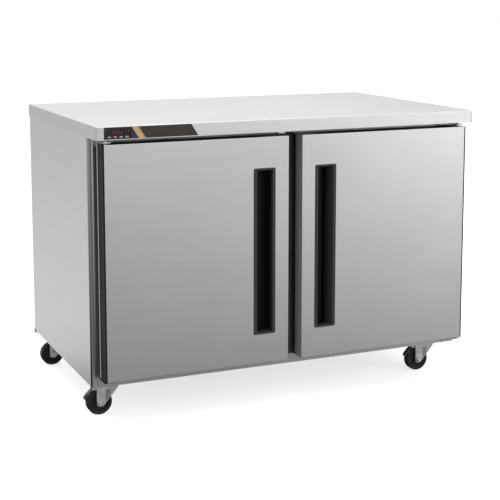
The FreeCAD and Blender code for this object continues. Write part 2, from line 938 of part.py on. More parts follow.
def make_pull(side, sign):
    """Recessed pull: a flange on the skin, a trough, and a lip on the latch side for the fingers."""
    body = new_body("door_handle_" + side)
    pad(
        body, "XZ", DOOR_Y + " - pull_proud", "pull_proud",
        rectangle(
            pull_x(sign, "0"), "pull_low",
            pull_x(sign, "pull_width"), "pull_low + pull_length",
        ),
    )
    round_edges(body, "pull_corner", lambda e: along(e, 1))
    face = DIMENSIONS["door_front"] - DIMENSIONS["top_depth"] / 2 - DIMENSIONS["pull_proud"]
    round_edges(body, "pull_proud / 2", lambda e: abs(middle(e).y - face) < NEAR)
    pad(
        body, "XY", "pull_low + pull_flange", "pull_length - 2 * pull_flange",
        rectangle(
            pull_x(sign, "pull_flange"), DOOR_Y,
            pull_x(sign, "(pull_width - pull_flange)"), DOOR_Y + " + pull_depth - 1",
        ),
    )
    trough_low = "pull_low + pull_rim_end"
    trough_length = "pull_length - 2 * pull_rim_end"
    floor = DOOR_Y + " + pull_depth - 1 - pull_wall"
    mouth = DOOR_Y + " - pull_proud - 1"
    # the wall on the hinge side slopes; the trough runs on behind the lip on the latch side
    pocket(
        body, "XY", trough_low, trough_length,
        [
            (pull_x(sign, "pull_rim"), mouth),
            (pull_x(sign, "pull_rim"), DOOR_Y + " + lip_depth"),
            (pull_x(sign, "(pull_rim - lip_undercut)"), DOOR_Y + " + lip_depth"),
            (pull_x(sign, "(pull_rim - lip_undercut)"), floor + " - trough_corner"),
            (pull_x(sign, "(pull_rim - lip_undercut + trough_corner)"), floor),
            (pull_x(sign, "(pull_width - pull_rim - slope_foot)"), floor),
            (pull_x(sign, "(pull_width - pull_rim - slope_turn)"), DOOR_Y + " + slope_turn_depth"),
            (pull_x(sign, "(pull_width - pull_rim)"), mouth),
        ],
    )
    keep("door_handle_" + side, body)


def make_bushes(side, sign):
    sleeves = []
    for low in (DOOR_LOW, DOOR_TOP + " - bush_length"):
        body = new_body("hinge_bush_" + side)
        pad(
            body, "XY", low, "bush_length",
            circle(signed(sign, PIVOT_X), PIVOT_Y, "bush_radius"),
            circle(signed(sign, PIVOT_X), PIVOT_Y, "pin_radius + running_gap"),
        )
        sleeves.append(body)
    keep("hinge_bushes_" + side, group("hinge_bushes_" + side, sleeves))


def make_hinges():
    """Brackets on the face frame above and below each door, each with its pin welded in."""
    brackets = []
    tongue_front = PIVOT_Y + " - bracket_nose"
    nose = sum(DIMENSIONS[n] for n in ("door_front", "pivot_back"))
    nose -= DIMENSIONS["top_depth"] / 2 + DIMENSIONS["bracket_nose"]
    for sign in SIDES.values():
        x_out = signed(sign, "(%s + bracket_out)" % PIVOT_X)
        x_in = signed(sign, "(%s - bracket_in)" % PIVOT_X)
        low_x, high_x = (x_out, x_in) if sign < 0 else (x_in, x_out)
        pivot = signed(sign, PIVOT_X)
        for end in ("top", "bottom"):
            if end == "top":
                tongue = DOOR_TOP + " + bracket_gap"
                leaf_low = UNDERSIDE + " - leaf_length"
                pin_low = DOOR_TOP + " - pin_length"
                head_low = tongue + " + bracket_gauge"
            else:
                tongue = DOOR_LOW + " - bracket_gap - bracket_gauge"
                leaf_low = tongue + " + bracket_gauge - leaf_length"
                pin_low = tongue
                head_low = tongue + " - pin_head_height"
            body = new_body("hinge_bracket")
            pad(
                body, "XY", tongue, "bracket_gauge",
                rectangle(low_x, tongue_front, high_x, FRAME_Y),
            )
            round_edges(
                body, "bracket_corner", lambda e: along(e, 2) and abs(middle(e).y - nose) < NEAR
            )
            pad(
                body, "XZ", FRAME_Y + " - bracket_gauge", "bracket_gauge",
                rectangle(low_x, leaf_low, high_x, leaf_low + " + leaf_length - leaf_gap"),
            )
            pin_length = "pin_length + bracket_gap + bracket_gauge"
            shank = rod("pin_shank", "Z", (pivot, PIVOT_Y, pin_low), "pin_radius", pin_length)
            head = rod("pin_head", "Z", (pivot, PIVOT_Y, head_low), "pin_head", "pin_head_height")
            brackets.append(fuse("bracket_with_pin", [body, shank, head]))
    keep("hinge_brackets", group("hinge_brackets", brackets))


# ---------------------------------------------------------------- casters


def hexagon(name, axis, centre, height):
    """A bolt head or nut: six-sided prism from centre towards +Y or +Z."""
    solid = doc.addObject("Part::Prism", name)
    solid.Polygon = 6
    turns = {"Y": (0, 0, -90), "Z": (0, 0, 0)}
    solid.Placement = FreeCAD.Placement(FreeCAD.Vector(), FreeCAD.Rotation(*turns[axis]))
    bind(solid, Circumradius="bolt_flat / cos(30)", Height=height)
    return bind(
        solid, Placement__Base__x=centre[0], Placement__Base__y=centre[1], Placement__Base__z=centre[2]
    )


def make_caster(end, side, sign):
    name = "%s_%s" % (end, side)
    x = signed(sign, "(top_width / 2 - swivel_inset)")
    y = "(%s - top_depth / 2)" % ENDS[end]
    fork = new_body("fork_" + name, x, y)
    braked = end == "front"
    outer = "(fork_inner + fork_gauge)"
    crown = rectangle("-crown_back", "-" + outer, "crown_front", outer)
    pad(fork, "XY", "crown_height", "fork_gauge", crown)
    axle_x = "-swivel_offset"
    leg = [
        (axle_x + " - leg_half", "wheel_radius - leg_drop"),
        (axle_x + " + leg_front", "wheel_radius - leg_drop"),
        ("crown_front", "crown_height"),
        ("crown_front", "crown_height + fork_gauge"),
        (axle_x + " - leg_half", "crown_height + fork_gauge"),
    ]
    for low in ("-" + outer, "fork_inner"):
        pad(fork, "XZ", low, "fork_gauge", leg)
    low_z = DIMENSIONS["wheel_radius"] - DIMENSIONS["leg_drop"]
    round_edges(fork, "leg_fillet", lambda e: along(e, 1) and abs(middle(e).z - low_z) < NEAR)
    pad(
        fork, "XY", "crown_height + fork_gauge", "race_height",
        circle("0", "0", "race_radius"),
    )
    pocket(
        fork, "XY", "crown_height - 1", "fork_gauge + race_height + 2",
        circle("0", "0", "kingpin_radius + running_gap"),
    )
    pocket(
        fork, "XZ", "-%s - 1" % outer, "2 * %s + 2" % outer,
        circle(axle_x, "wheel_radius", "axle_radius"),
    )
    if braked:
        pivot_x = "(-swivel_offset - pedal_pivot_back)"
        pivot_z = "(wheel_radius + pedal_pivot_up)"
        for low in ("-pedal_half - pedal_play - pedal_ear", "pedal_half + pedal_play"):
            pad(
                fork, "XZ", low, "pedal_ear",
                rectangle(
                    pivot_x + " - ear_back", pivot_z + " - ear_low",
                    pivot_x + " + ear_front", "crown_height + fork_gauge",
                ),
                circle(pivot_x, pivot_z, "pedal_pin"),
            )
    shank = rod(
        "axle_shank", "Y", (x + " - swivel_offset", y + " - " + outer, "wheel_radius"),
        "axle_radius", "2 * " + outer,
    )
    head = hexagon(
        "axle_head", "Y",
        (x + " - swivel_offset", y + " - %s - bolt_head" % outer, "wheel_radius"), "bolt_head",
    )
    nut = hexagon(
        "axle_nut", "Y", (x + " - swivel_offset", y + " + " + outer, "wheel_radius"), "bolt_head"
    )
    members = [fork, fuse("axle_bolt", [shank, head, nut])]
    if braked:
        members.append(
            rod(
                "pedal_rivet", "Y",
                (
                    x + " - swivel_offset - pedal_pivot_back",
                    y + " - pedal_half - pedal_play - pedal_ear",
                    "wheel_radius + pedal_pivot_up",
                ),
                "pedal_pin", "2 * (pedal_half + pedal_play + pedal_ear)",
            )
        )
    keep("caster_fork_" + name, group("caster_fork_" + name, members))
    make_wheel(name, x, y)
    if braked:
        make_pedal(name, x, y)


def make_wheel(name, x, y):
    """Rubber-tyred wheel turned about the Y axis: hub, web, rim and a tread with round shoulders."""
    body = new_body("wheel_" + name, x + " - swivel_offset", y, "wheel_radius")
    half = [
        ("hub_half", "axle_radius + running_gap"),
        ("hub_half", "hub_radius"),
        ("web_half", "hub_radius + hub_taper"),
        ("web_half", "rim_radius"),
        ("wheel_half - bead_step", "rim_radius + bead_rise"),
        ("wheel_half", "rim_radius + 2 * bead_rise"),
        ("wheel_half", "wheel_radius"),
    ]
    mirrored = [("-(%s)" % a, b) for a, b in reversed(half)]
    revolve(body, "YZ", "H_Axis", half + mirrored)
    radius = DIMENSIONS["wheel_radius"]
    round_edges(
        body, "tread_fillet",
        lambda e: isinstance(e.Curve, Part.Circle) and abs(e.Curve.Radius - radius) < NEAR,
    )
    keep("wheel_" + name, body)


def polar(radius, degrees):
    """A point of the pedal's side view, at a radius and an angle about the wheel's axle."""
    return (
        "(%s) * cos(%s) - swivel_offset" % (radius, degrees),
        "(%s) * sin(%s) + wheel_radius" % (radius, degrees),
    )


def make_pedal(name, x, y):
    """A strap that follows the tread from its pivot to a foot tab, with a brake shoe under it."""
    body = new_body("brake_pedal_" + name, x, y)
    outline = [polar("strap_outer", angle) for angle in range(110, 156, 9)]
    outline.extend([polar("tab_outer", 157), polar("tab_outer", 166), polar("strap_inner", 168)])
    outline.extend(polar("strap_inner", angle) for angle in (158, 150))
    outline.extend(polar("shoe_inner", angle) for angle in (147, 141, 135))
    outline.extend(polar("strap_inner", angle) for angle in (132, 125, 118, 110))
    pad(body, "XZ", "-pedal_half", "2 * pedal_half", outline)
    pivot_x = "(-swivel_offset - pedal_pivot_back)"
    pivot_z = "(wheel_radius + pedal_pivot_up)"
    pad(body, "XZ", "-pedal_half", "2 * pedal_half", circle(pivot_x, pivot_z, "pedal_knuckle"))
    pocket(
        body, "XZ", "-pedal_half - 1", "2 * pedal_half + 2",
        circle(pivot_x, pivot_z, "pedal_pin + running_gap"),
    )
    keep("brake_pedal_" + name, body)


def make_caster_plates():
    """Top plate, upper race and kingpin of each caster, riveted into one piece."""
    plates = []
    race_low = "(crown_height + fork_gauge + race_height + race_gap)"
    plate_low = "(caster_height - plate_gauge)"
    for end in ENDS:
        for sign in SIDES.values():
            x = signed(sign, "(top_width / 2 - swivel_inset)")
            y = "(%s - top_depth / 2)" % ENDS[end]
            plate = block(
                "plate",
                (x + " - plate_length / 2", y + " - plate_width / 2", plate_low),
                (x + " + plate_length / 2", y + " + plate_width / 2", "caster_height"),
            )
            race = rod(
                "upper_race", "Z", (x, y, race_low), "upper_race_radius", "%s - %s" % (plate_low, race_low)
            )
            head_low = "(crown_height - race_gap - kingpin_head_height)"
            pin_low = "(crown_height - race_gap - kingpin_head_height / 2)"
            pin = rod(
                "kingpin", "Z", (x, y, pin_low), "kingpin_radius", "%s - %s" % (race_low, pin_low)
            )
            head = rod(
                "kingpin_head", "Z", (x, y, head_low), "kingpin_head", "kingpin_head_height"
            )
            plates.append(fuse("caster_plate", [plate, race, pin, head]))
    keep("caster_plates", group("caster_plates", plates))


def make_screws():
    """Hex bolts of the caster plates, and the pan-head screws of the brackets and the back."""
    fasteners = []
    bolt_low = "(caster_height - plate_gauge - bolt_head)"
    for end in ENDS:
        for sign in SIDES.values():
            for dx in (-1, 1):
                for dy in (-1, 1):
                    x = "%d * (top_width / 2 - swivel_inset) + %d * bolt_x" % (sign, dx)
                    y = "%s - top_depth / 2 + %d * bolt_y" % (ENDS[end], dy)
                    fasteners.append(hexagon("plate_bolt", "Z", (x, y, bolt_low), "bolt_head"))
    for sign in SIDES.values():
        for shift in ("+ bracket_screw_out", "- bracket_screw_in"):
            x = signed(sign, "(%s %s)" % (PIVOT_X, shift))
            heights = (
                UNDERSIDE + " - bracket_screw_drop",
                DOOR_LOW + " - bracket_gap - bracket_screw_low",
            )
            for z in heights:
                start = (x, FRAME_Y + " - bracket_gauge - screw_head", z)
                fasteners.append(rod("bracket_screw", "Y", start, "screw_radius", "screw_head"))
        x = signed(sign, "(top_width / 2 - frame_screw_in)")
        start = (x, FRAME_Y + " - screw_head", UNDERSIDE + " - frame_screw_drop")
        fasteners.append(rod("frame_screw", "Y", start, "screw_radius", "screw_head"))
        for across in ("back_screw_out", "back_screw_in"):
            heights = (
                "machine_top + back_screw_margin",
                "machine_top - back_screw_margin",
                ABOVE_BASE + " + back_screw_margin",
            )
            for z in heights:
                start = (signed(sign, across), BACK_Y, z)
                fasteners.append(rod("back_screw", "Y", start, "screw_radius", "screw_head"))
    keep("screws", group("screws", fasteners))


# ---------------------------------------------------------------- shelves


def make_standard(plane, low, across, z_low, z_high):
    """A slotted strip on a wall. plane is its face's plane, low its level, across its low edge.

    z_low and z_high are the aliases of its two ends.
    """
    body = new_body("standard")
    pad(
        body, plane, low, "standard_gauge",
        rectangle(across, z_low, across + " + standard_width", z_high),
    )
    slot = pocket(
        body, plane, low + " - 1", "standard_gauge + 2",
        rectangle(
            across + " + standard_width / 2 - hole_half", z_low + " + hole_length",
            across + " + standard_width / 2 + hole_half", z_low + " + 2 * hole_length",
        ),
    )
    room = DIMENSIONS[z_high] - DIMENSIONS[z_low] - 2 * DIMENSIONS["hole_length"]
    count = int(room // DIMENSIONS["hole_pitch"])
    repeat(body, slot, "V_Axis", "hole_pitch * %d" % (count - 1), count)
    return body


def make_shelf_hardware():
    strips = []
    for sign in SIDES.values():
        wall = "-" + CAVITY_X if sign < 0 else CAVITY_X + " - standard_gauge"
        strips.append(make_standard("YZ", wall, "standard_front", "standard_low", "standard_high"))
        strips.append(make_standard("YZ", wall, "standard_rear", "standard_step_low", "standard_high"))
    post_back = BEHIND_FRAME + " + mullion_depth"
    rear_face = "rear_wall_y - standard_gauge"
    centred = "-standard_width / 2"
    strips.append(make_standard("XZ", post_back, centred, "standard_low", "standard_high"))
    strips.append(make_standard("XZ", rear_face, centred, "standard_step_low", "standard_rear_high"))
    keep("shelf_standards", group("shelf_standards", strips))

    top = "shelf_height - frame_wire"
    low = top + " - clip_height"
    clips = []
    for sign in SIDES.values():
        x_wall = signed(sign, "(%s - standard_gauge)" % CAVITY_X)
        x_tip = signed(sign, "(%s - standard_gauge - clip_reach)" % CAVITY_X)
        low_x, high_x = (x_wall, x_tip) if sign < 0 else (x_tip, x_wall)
        for strip in ("standard_front", "standard_rear"):
            y = strip + " + clip_inset"
            clips.append(block("clip", (low_x, y, low), (high_x, y + " + clip_width", top)))
    post_face = BEHIND_FRAME + " + mullion_depth + standard_gauge"
    for near, far in ((post_face, post_face + " + clip_reach"), (rear_face + " - clip_reach", rear_face)):
        clips.append(
            block("clip", ("-middle_clip_half", near, low), ("middle_clip_half", far, top))
        )
    keep("shelf_clips", group("shelf_clips", clips))


def make_shelf(side, sign):
    """Wires from front to back on three cross rods, closed by a thicker rod at each side."""
    rods = []
    x_low = "-shelf_out" if sign < 0 else "shelf_in"
    span = "(shelf_out - shelf_in)"
    for y in ("shelf_front + frame_wire", "(shelf_front + shelf_back) / 2", "shelf_back - frame_wire"):
        rods.append(rod("cross_rod", "X", (x_low, y, "shelf_height"), "frame_wire", span))
    depth = "shelf_back - shelf_front"
    wire_z = "shelf_height + frame_wire + wire_radius - wire_bite"
    count = int(DIMENSIONS["wire_count"])
    for index in range(count):
        x = "%s + frame_wire + %s * %d / %d" % (x_low, "(%s - 2 * frame_wire)" % span, index, count - 1)
        rods.append(rod("wire", "Y", (x, "shelf_front", wire_z), "wire_radius", depth))
    keep("shelf_" + side, fuse("shelf_" + side, rods))


# ---------------------------------------------------------------- refrigeration


def finned_coil(label, coil):
    """Upright fins in a row along X, threaded on straight tubes and held by two end plates.

    coil is the start of the aliases of its six faces and its pitch.
    """
    pieces = []
    span = "(%s_right - %s_left)" % (coil, coil)
    width = DIMENSIONS[coil + "_right"] - DIMENSIONS[coil + "_left"]
    count = int(width // DIMENSIONS[coil + "_pitch"])
    for index in range(count + 1):
        x = "%s_left + %s * %d / %d" % (coil, span, index, count)
        gauge = "end_plate_gauge" if index in (0, count) else "fin_gauge"
        low = (x, coil + "_front", coil + "_low")
        high = (x + " + " + gauge, coil + "_back", coil + "_high")
        pieces.append(block("fin", low, high))
    tube_span = span + " + 2 * tube_overhang + end_plate_gauge"
    for index in range(TUBE_ROWS):
        share = "%d / %d" % (2 * index + 1, 2 * TUBE_ROWS)
        z = "%s_low + (%s_high - %s_low) * %s" % (coil, coil, coil, share)
        for quarter in ("0.27", "0.73"):
            y = "%s_front + (%s_back - %s_front) * %s" % (coil, coil, coil, quarter)
            start = (coil + "_left - tube_overhang", y, z)
            pieces.append(rod("coil_tube", "X", start, "tube_radius", tube_span))
    keep(label, fuse(label, pieces))


def make_fan(label, fan):
    """Axial fan about an axis along Y: a bored hub and pitched blades.

    fan is the start of the aliases of its place and sizes.
    """
    radius = fan + "_radius"
    hub = fan + "_hub"
    depth = DIMENSIONS[fan + "_depth"]
    chord = DIMENSIONS[radius] * DIMENSIONS["blade_chord"]
    middle_y = DIMENSIONS[fan + "_y"] + depth / 2
    centre = FreeCAD.Vector(DIMENSIONS[fan + "_x"], middle_y, DIMENSIONS[fan + "_z"])
    pitch = FreeCAD.Rotation(FreeCAD.Vector(1, 0, 0), DIMENSIONS["blade_pitch"])
    root = FreeCAD.Vector(DIMENSIONS[hub] - DIMENSIONS["blade_root"], 0, 0)
    corner = root + pitch.multVec(FreeCAD.Vector(0, -DIMENSIONS["blade_gauge"] / 2, -chord / 2))
    wheel = []
    for index in range(FAN_BLADES):
        blade = doc.addObject("Part::Box", "blade")
        bind(
            blade, Length="%s - %s + blade_root" % (radius, hub), Width="blade_gauge",
            Height="%s * blade_chord" % radius,
        )
        turn = FreeCAD.Rotation(FreeCAD.Vector(0, 1, 0), 360.0 * index / FAN_BLADES)
        blade.Placement = FreeCAD.Placement(turn.multVec(corner) + centre, turn.multiply(pitch))
        wheel.append(blade)
    start = (fan + "_x", fan + "_y", fan + "_z")
    wheel.append(rod("fan_hub", "Y", start, hub, fan + "_depth"))
    bore_start = (fan + "_x", fan + "_y - %s" % radius, fan + "_z")
    bore = rod("fan_bore", "Y", bore_start, "shaft_radius + running_gap", "2 * %s" % radius)
    keep(label, cut(label, fuse("fan_wheel", wheel), bore))


def make_fan_motor(label, fan):
    """Round motor with a shaft towards the fan and a cross bar that carries it."""
    x = fan + "_x"
    z = fan + "_z"
    can_y = fan + "_can_y"
    bar_y = fan + "_bar_y"
    can = rod("motor_can", "Y", (x, can_y, z), fan + "_can", "%s - %s" % (bar_y, can_y))
    shaft_y = fan + "_shaft_y"
    shaft = rod("motor_shaft", "Y", (x, shaft_y, z), "shaft_radius", "%s - %s + 1" % (can_y, shaft_y))
    bar = block(
        "motor_bar",
        ("%s - %s_arm" % (x, fan), bar_y + " - bar_gauge", z + " - bar_half"),
        ("%s + %s_arm" % (x, fan), bar_y, z + " + bar_half"),
    )
    keep(label, fuse(label, [can, shaft, bar]))


def make_evaporator():
    cover = new_body("evaporator_cover")
    depth = "rear_wall_y - cover_front"
    pad(
        cover, "XZ", "cover_front", depth,
        rectangle("-cover_half", "cover_low", "cover_half", "ceiling_height"),
    )
    pocket(
        cover, "XZ", "cover_front + cover_gauge", depth,
        rectangle(
            "-cover_half + cover_gauge", "cover_low + cover_gauge",
            "cover_half - cover_gauge", "ceiling_height - cover_gauge",
        ),
    )
    pocket(
        cover, "XZ", "cover_front - 1", "cover_gauge + 2",
        circle("evap_fan_x", "evap_fan_z", "evap_fan_radius + fan_ring_gap"),
    )
    for column in ("-outlet_out", "outlet_out - outlet_length"):
        slot = pocket(
            cover, "XZ", "cover_front - 1", "cover_gauge + 2",
            rectangle(column, "outlet_low", column + " + outlet_length", "outlet_low + outlet_height"),
        )
        count = int(DIMENSIONS["outlet_count"])
        repeat(cover, slot, "V_Axis", "outlet_pitch * (outlet_count - 1)", count)
    keep("evaporator_cover", cover)
    finned_coil("evaporator_coil", "evap_coil")
    make_fan_motor("evaporator_fan_motor", "evap_fan")
    make_fan("evaporator_fan_blade", "evap_fan")


def make_condensing_unit():
    can = new_body("compressor", "compressor_x", "compressor_y", "0")
    above_foot = "(%s + foot_gauge)" % ABOVE_BASE
    pad(
        can, "XY", ABOVE_BASE, "foot_gauge",
        rectangle("-foot_half_x", "-foot_half_y", "foot_half_x", "foot_half_y"),
    )
    pad(can, "XY", above_foot, "compressor_height", circle("0", "0", "compressor_radius"))
    radius = DIMENSIONS["compressor_radius"]
    stack = ("caster_height", "base_gauge", "foot_gauge", "compressor_height")
    top = sum(DIMENSIONS[n] for n in stack)
    round_edges(
        can, "compressor_dome",
        lambda e: isinstance(e.Curve, Part.Circle)
        and abs(e.Curve.Radius - radius) < NEAR
        and abs(middle(e).z - top) < NEAR,
    )
    pad(
        can, "XY", above_foot + " + terminal_low", "terminal_height",
        rectangle("terminal_in", "-terminal_half", "terminal_out", "terminal_half"),
    )
    keep("compressor", can)
    finned_coil("condenser_coil", "cond_coil")
    make_fan_motor("condenser_fan_motor", "cond_fan")
    make_fan("condenser_fan_blade", "cond_fan")

    tray = new_body("condensate_pan")
    floor = "(%s + tray_gap)" % ABOVE_BASE
    pad(
        tray, "XY", floor, "tray_height",
        rectangle("tray_left", "tray_front", "tray_right", "tray_back"),
    )
    pocket(
        tray, "XY", floor + " + tray_wall", "tray_height",
        rectangle(
            "tray_left + tray_wall", "tray_front + tray_wall",
            "tray_right - tray_wall", "tray_back - tray_wall",
        ),
    )
    keep("condensate_pan", tray)

    drier = rod("filter_drier", "Z", DRIER_START, "drier_radius", "drier_length")
    lines = [
        tube(DISCHARGE_LINE, DISCHARGE_RADIUS),
        tube(SUCTION_LINE, SUCTION_RADIUS),
        fuse("liquid_line", [tube(LIQUID_LINE, LIQUID_RADIUS), drier]),
    ]
    keep("refrigerant_lines", group("refrigerant_lines", lines))

    gland = new_body("cord_gland", "gland_x", "0", "gland_z")
    start = INSIDE_BACK + " - gland_depth"
    pad(gland, "XZ", start, "gland_depth + panel_gauge", circle("0", "0", "gland_radius"))
    pad(gland, "XZ", BACK_Y, "gland_proud", circle("0", "0", "gland_flange"))
    pocket(gland, "XZ", start + " - 1", "2 * gland_flange", circle("0", "0", "gland_bore"))
    keep("cord_gland", gland)


def solid_feature(name, shape):
    made = doc.addObject("Part::Feature", name)
    made.Shape = shape
    made.Placement = FreeCAD.Placement()
    return made


def tube(points, radius):
    """Copper line: straight runs joined by tangent arcs of three radii."""
    bend = 3.0 * radius
    corners = [FreeCAD.Vector(*p) for p in points]
    edges = []
    start = corners[0]
    for before, corner, after in zip(corners, corners[1:], corners[2:]):
        towards = (corner - before).normalize()
        away = (after - corner).normalize()
        entry = corner - towards * bend
        leave = corner + away * bend
        edges.append(Part.LineSegment(start, entry).toShape())
        inner = corner + (away - towards) * bend
        halfway = inner - (away - towards).normalize() * bend
        edges.append(Part.Arc(entry, halfway, leave).toShape())
        start = leave
    edges.append(Part.LineSegment(start, corners[-1]).toShape())
    path = Part.Wire(edges)
    ring = Part.makeCircle(radius, corners[0], corners[1] - corners[0])
    return solid_feature("copper_line", path.makePipeShell([Part.Wire([ring])], True, False))


# ---------------------------------------------------------------- build, check and export


def check_document():
    doc.recompute()
    for thing in doc.Objects:
        if "Invalid" in thing.State or "Error" in thing.State:
            raise RuntimeError("%s failed: %s" % (thing.Label, thing.State))
    for label, thing in parts.items():
        if thing.Shape.isNull() or not thing.Shape.isValid():
            raise RuntimeError("%s has no valid shape" % label)
        if not thing.Shape.Solids:
            raise RuntimeError("%s has no solid" % label)


def main():
    make_sheet()
    make_worktop()
    make_side_panels()
    make_back()
    make_base()
    make_foam_and_liner()
    make_face_frame()
    make_control()
    for side, sign in SIDES.items():
        make_door(side, sign)
        make_shelf(side, sign)
    make_hinges()
    for end in ENDS:
        for side, sign in SIDES.items():
            make_caster(end, side, sign)
    make_caster_plates()
    make_shelf_hardware()
    make_evaporator()
    make_condensing_unit()
    make_screws()
    check_document()
    os.makedirs("parts", exist_ok=True)
    for label, thing in parts.items():
        thing.Shape.exportStep("parts/%s.step" % label)
    print("%d nodes, %d solids" % (len(parts), sum(len(p.Shape.Solids) for p in parts.values())))


main()
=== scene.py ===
import json
import math

import bmesh
import bpy
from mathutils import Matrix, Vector


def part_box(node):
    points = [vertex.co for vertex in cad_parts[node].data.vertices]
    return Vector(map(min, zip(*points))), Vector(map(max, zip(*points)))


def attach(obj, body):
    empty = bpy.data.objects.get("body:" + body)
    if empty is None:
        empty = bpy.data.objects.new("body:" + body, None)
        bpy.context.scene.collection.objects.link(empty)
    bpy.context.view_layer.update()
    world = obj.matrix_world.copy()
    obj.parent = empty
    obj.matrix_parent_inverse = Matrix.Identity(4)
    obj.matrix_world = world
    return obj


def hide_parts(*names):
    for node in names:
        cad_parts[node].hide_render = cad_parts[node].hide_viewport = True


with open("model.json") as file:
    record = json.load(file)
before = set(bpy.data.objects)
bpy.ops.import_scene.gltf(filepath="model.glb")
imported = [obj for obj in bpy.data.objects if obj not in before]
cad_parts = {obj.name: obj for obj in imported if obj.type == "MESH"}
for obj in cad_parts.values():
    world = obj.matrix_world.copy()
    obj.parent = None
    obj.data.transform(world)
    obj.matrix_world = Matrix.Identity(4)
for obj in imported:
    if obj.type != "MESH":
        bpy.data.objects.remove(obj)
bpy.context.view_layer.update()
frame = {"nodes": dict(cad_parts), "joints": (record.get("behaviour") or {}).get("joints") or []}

JOINTS = {joint["name"]: joint for joint in frame["joints"]}
MM = 0.001
SIDES = {"left": -1, "right": 1}
BRAKED = ["front_left", "front_right"]
CASTERS = BRAKED + ["rear_left", "rear_right"]


# ---------------- places taken from the frame


def low(node):
    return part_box(node)[0]


def high(node):
    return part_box(node)[1]


def centre(node):
    a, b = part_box(node)
    return (a + b) / 2


def end_x(node, sign):
    """Where a node ends to the right, or to the left if sign is negative."""
    return (high if sign > 0 else low)(node).x


def joint_place(name):
    return Vector(JOINTS[name]["pos_m"])


def angles(count):
    """Equal steps once round a circle."""
    return [2 * math.pi * i / count for i in range(count)]


# ---------------- materials


class Shader:
    """A Principled material whose colour, roughness and bump come from procedural nodes."""

    def __init__(self, name, roughness=0.5, metallic=0.0, **constants):
        self.material = bpy.data.materials.new(name)
        self.material.use_nodes = True
        self.tree = self.material.node_tree
        self.bsdf = self.tree.nodes["Principled BSDF"]
        self.bsdf.inputs["Roughness"].default_value = roughness
        self.bsdf.inputs["Metallic"].default_value = metallic
        for socket, value in constants.items():
            self.bsdf.inputs[socket.replace("_", " ")].default_value = value
        self.place = self.add("ShaderNodeTexCoord").outputs["Object"]

    def add(self, kind, **settings):
        node = self.tree.nodes.new(kind)
        for key, value in settings.items():
            setattr(node, key, value)
        return node

    def link(self, source, target):
        self.tree.links.new(source, target)

    def stretched(self, stretch):
        mapping = self.add("ShaderNodeMapping")
        mapping.inputs["Scale"].default_value = stretch
        self.link(self.place, mapping.inputs["Vector"])
        return mapping.outputs["Vector"]

    def along(self, axis):
        """The place along X, Y or Z in object space."""
        split = self.add("ShaderNodeSeparateXYZ")
        self.link(self.place, split.inputs["Vector"])
        return split.outputs[axis]

    def noise(self, scale, stretch=(1, 1, 1), detail=3.0):
        """Noise in object space. stretch multiplies the frequency along each axis."""
        texture = self.add("ShaderNodeTexNoise")
        texture.inputs["Scale"].default_value = scale
        texture.inputs["Detail"].default_value = detail
        self.link(self.stretched(stretch), texture.inputs["Vector"])
        return texture.outputs["Fac"]

    def cells(self, scale, feature="F1", output="Distance"):
        """Cell pattern in object space."""
        texture = self.add("ShaderNodeTexVoronoi", feature=feature)
        texture.inputs["Scale"].default_value = scale
        self.link(self.stretched((1, 1, 1)), texture.inputs["Vector"])
        return texture.outputs[output]

    def spread(self, value, low_value, high_value, low_from=0.3, high_from=0.7):
        """Maps a texture's middle range to the numbers low_value to high_value."""
        node = self.add("ShaderNodeMapRange")
        node.inputs["From Min"].default_value = low_from
        node.inputs["From Max"].default_value = high_from
        node.inputs["To Min"].default_value = low_value
        node.inputs["To Max"].default_value = high_value
        self.link(value, node.inputs["Value"])
        return node.outputs["Result"]

    def sum(self, a, b, weight):
        """a plus b times weight."""
        node = self.add("ShaderNodeMath", operation="MULTIPLY_ADD")
        self.link(b, node.inputs[0])
        node.inputs[1].default_value = weight
        self.link(a, node.inputs[2])
        return node.outputs[0]

    def blend_colors(self, factor, dark, light):
        node = self.add("ShaderNodeMix", data_type="RGBA")
        self.link(factor, node.inputs["Factor"])
        node.inputs["A"].default_value = (*dark, 1)
        node.inputs["B"].default_value = (*light, 1)
        return node.outputs["Result"]

    def color(self, factor, dark, light):
        self.link(self.blend_colors(factor, dark, light), self.bsdf.inputs["Base Color"])

    def rough(self, factor, smooth, coarse):
        """Roughness between two values, by a texture."""
        self.link(self.spread(factor, smooth, coarse), self.bsdf.inputs["Roughness"])

    def bump(self, height, depth, strength):
        """Bump of this depth in metres."""
        node = self.add("ShaderNodeBump")
        node.inputs["Strength"].default_value = strength
        node.inputs["Distance"].default_value = depth
        self.link(height, node.inputs["Height"])
        self.link(node.outputs["Normal"], self.bsdf.inputs["Normal"])

    def tangent(self, direction):
        """Stretches the highlights along a direction, which is across the grain."""
        node = self.add("ShaderNodeCombineXYZ")
        for socket, value in zip("XYZ", direction):
            node.inputs[socket].default_value = value
        self.link(node.outputs["Vector"], self.bsdf.inputs["Tangent"])


def tint(color, factor):
    """A colour made lighter or darker."""
    return tuple(min(1.0, c * factor) for c in color)


def brushed_steel(name, color, roughness, grain, across, contrast=0.035):
    """Sheet metal with fine lines along the grain, long faint streaks and cloudy handling marks."""
    shader = Shader(name, metallic=1.0, Anisotropic=0.55)
    fine = shader.noise(9.0, tuple(1 if a == grain else 120 for a in "xyz"), detail=2.0)
    streaks = shader.noise(2.2, tuple(1 if a == grain else 26 for a in "xyz"), detail=4.0)
    clouds = shader.noise(3.4, detail=5.0)
    tone = shader.sum(shader.sum(fine, clouds, 0.5), streaks, 0.5)
    shader.color(
        shader.spread(tone, 0.0, 1.0, 0.75, 1.25),
        tint(color, 1 - contrast), tint(color, 1 + contrast),
    )
    shader.rough(shader.sum(fine, clouds, 0.4), roughness - 0.04, roughness + 0.04)
    shader.bump(shader.sum(fine, streaks, 0.6), 0.04 * MM, 0.35)
    shader.tangent(across)
    return shader.material


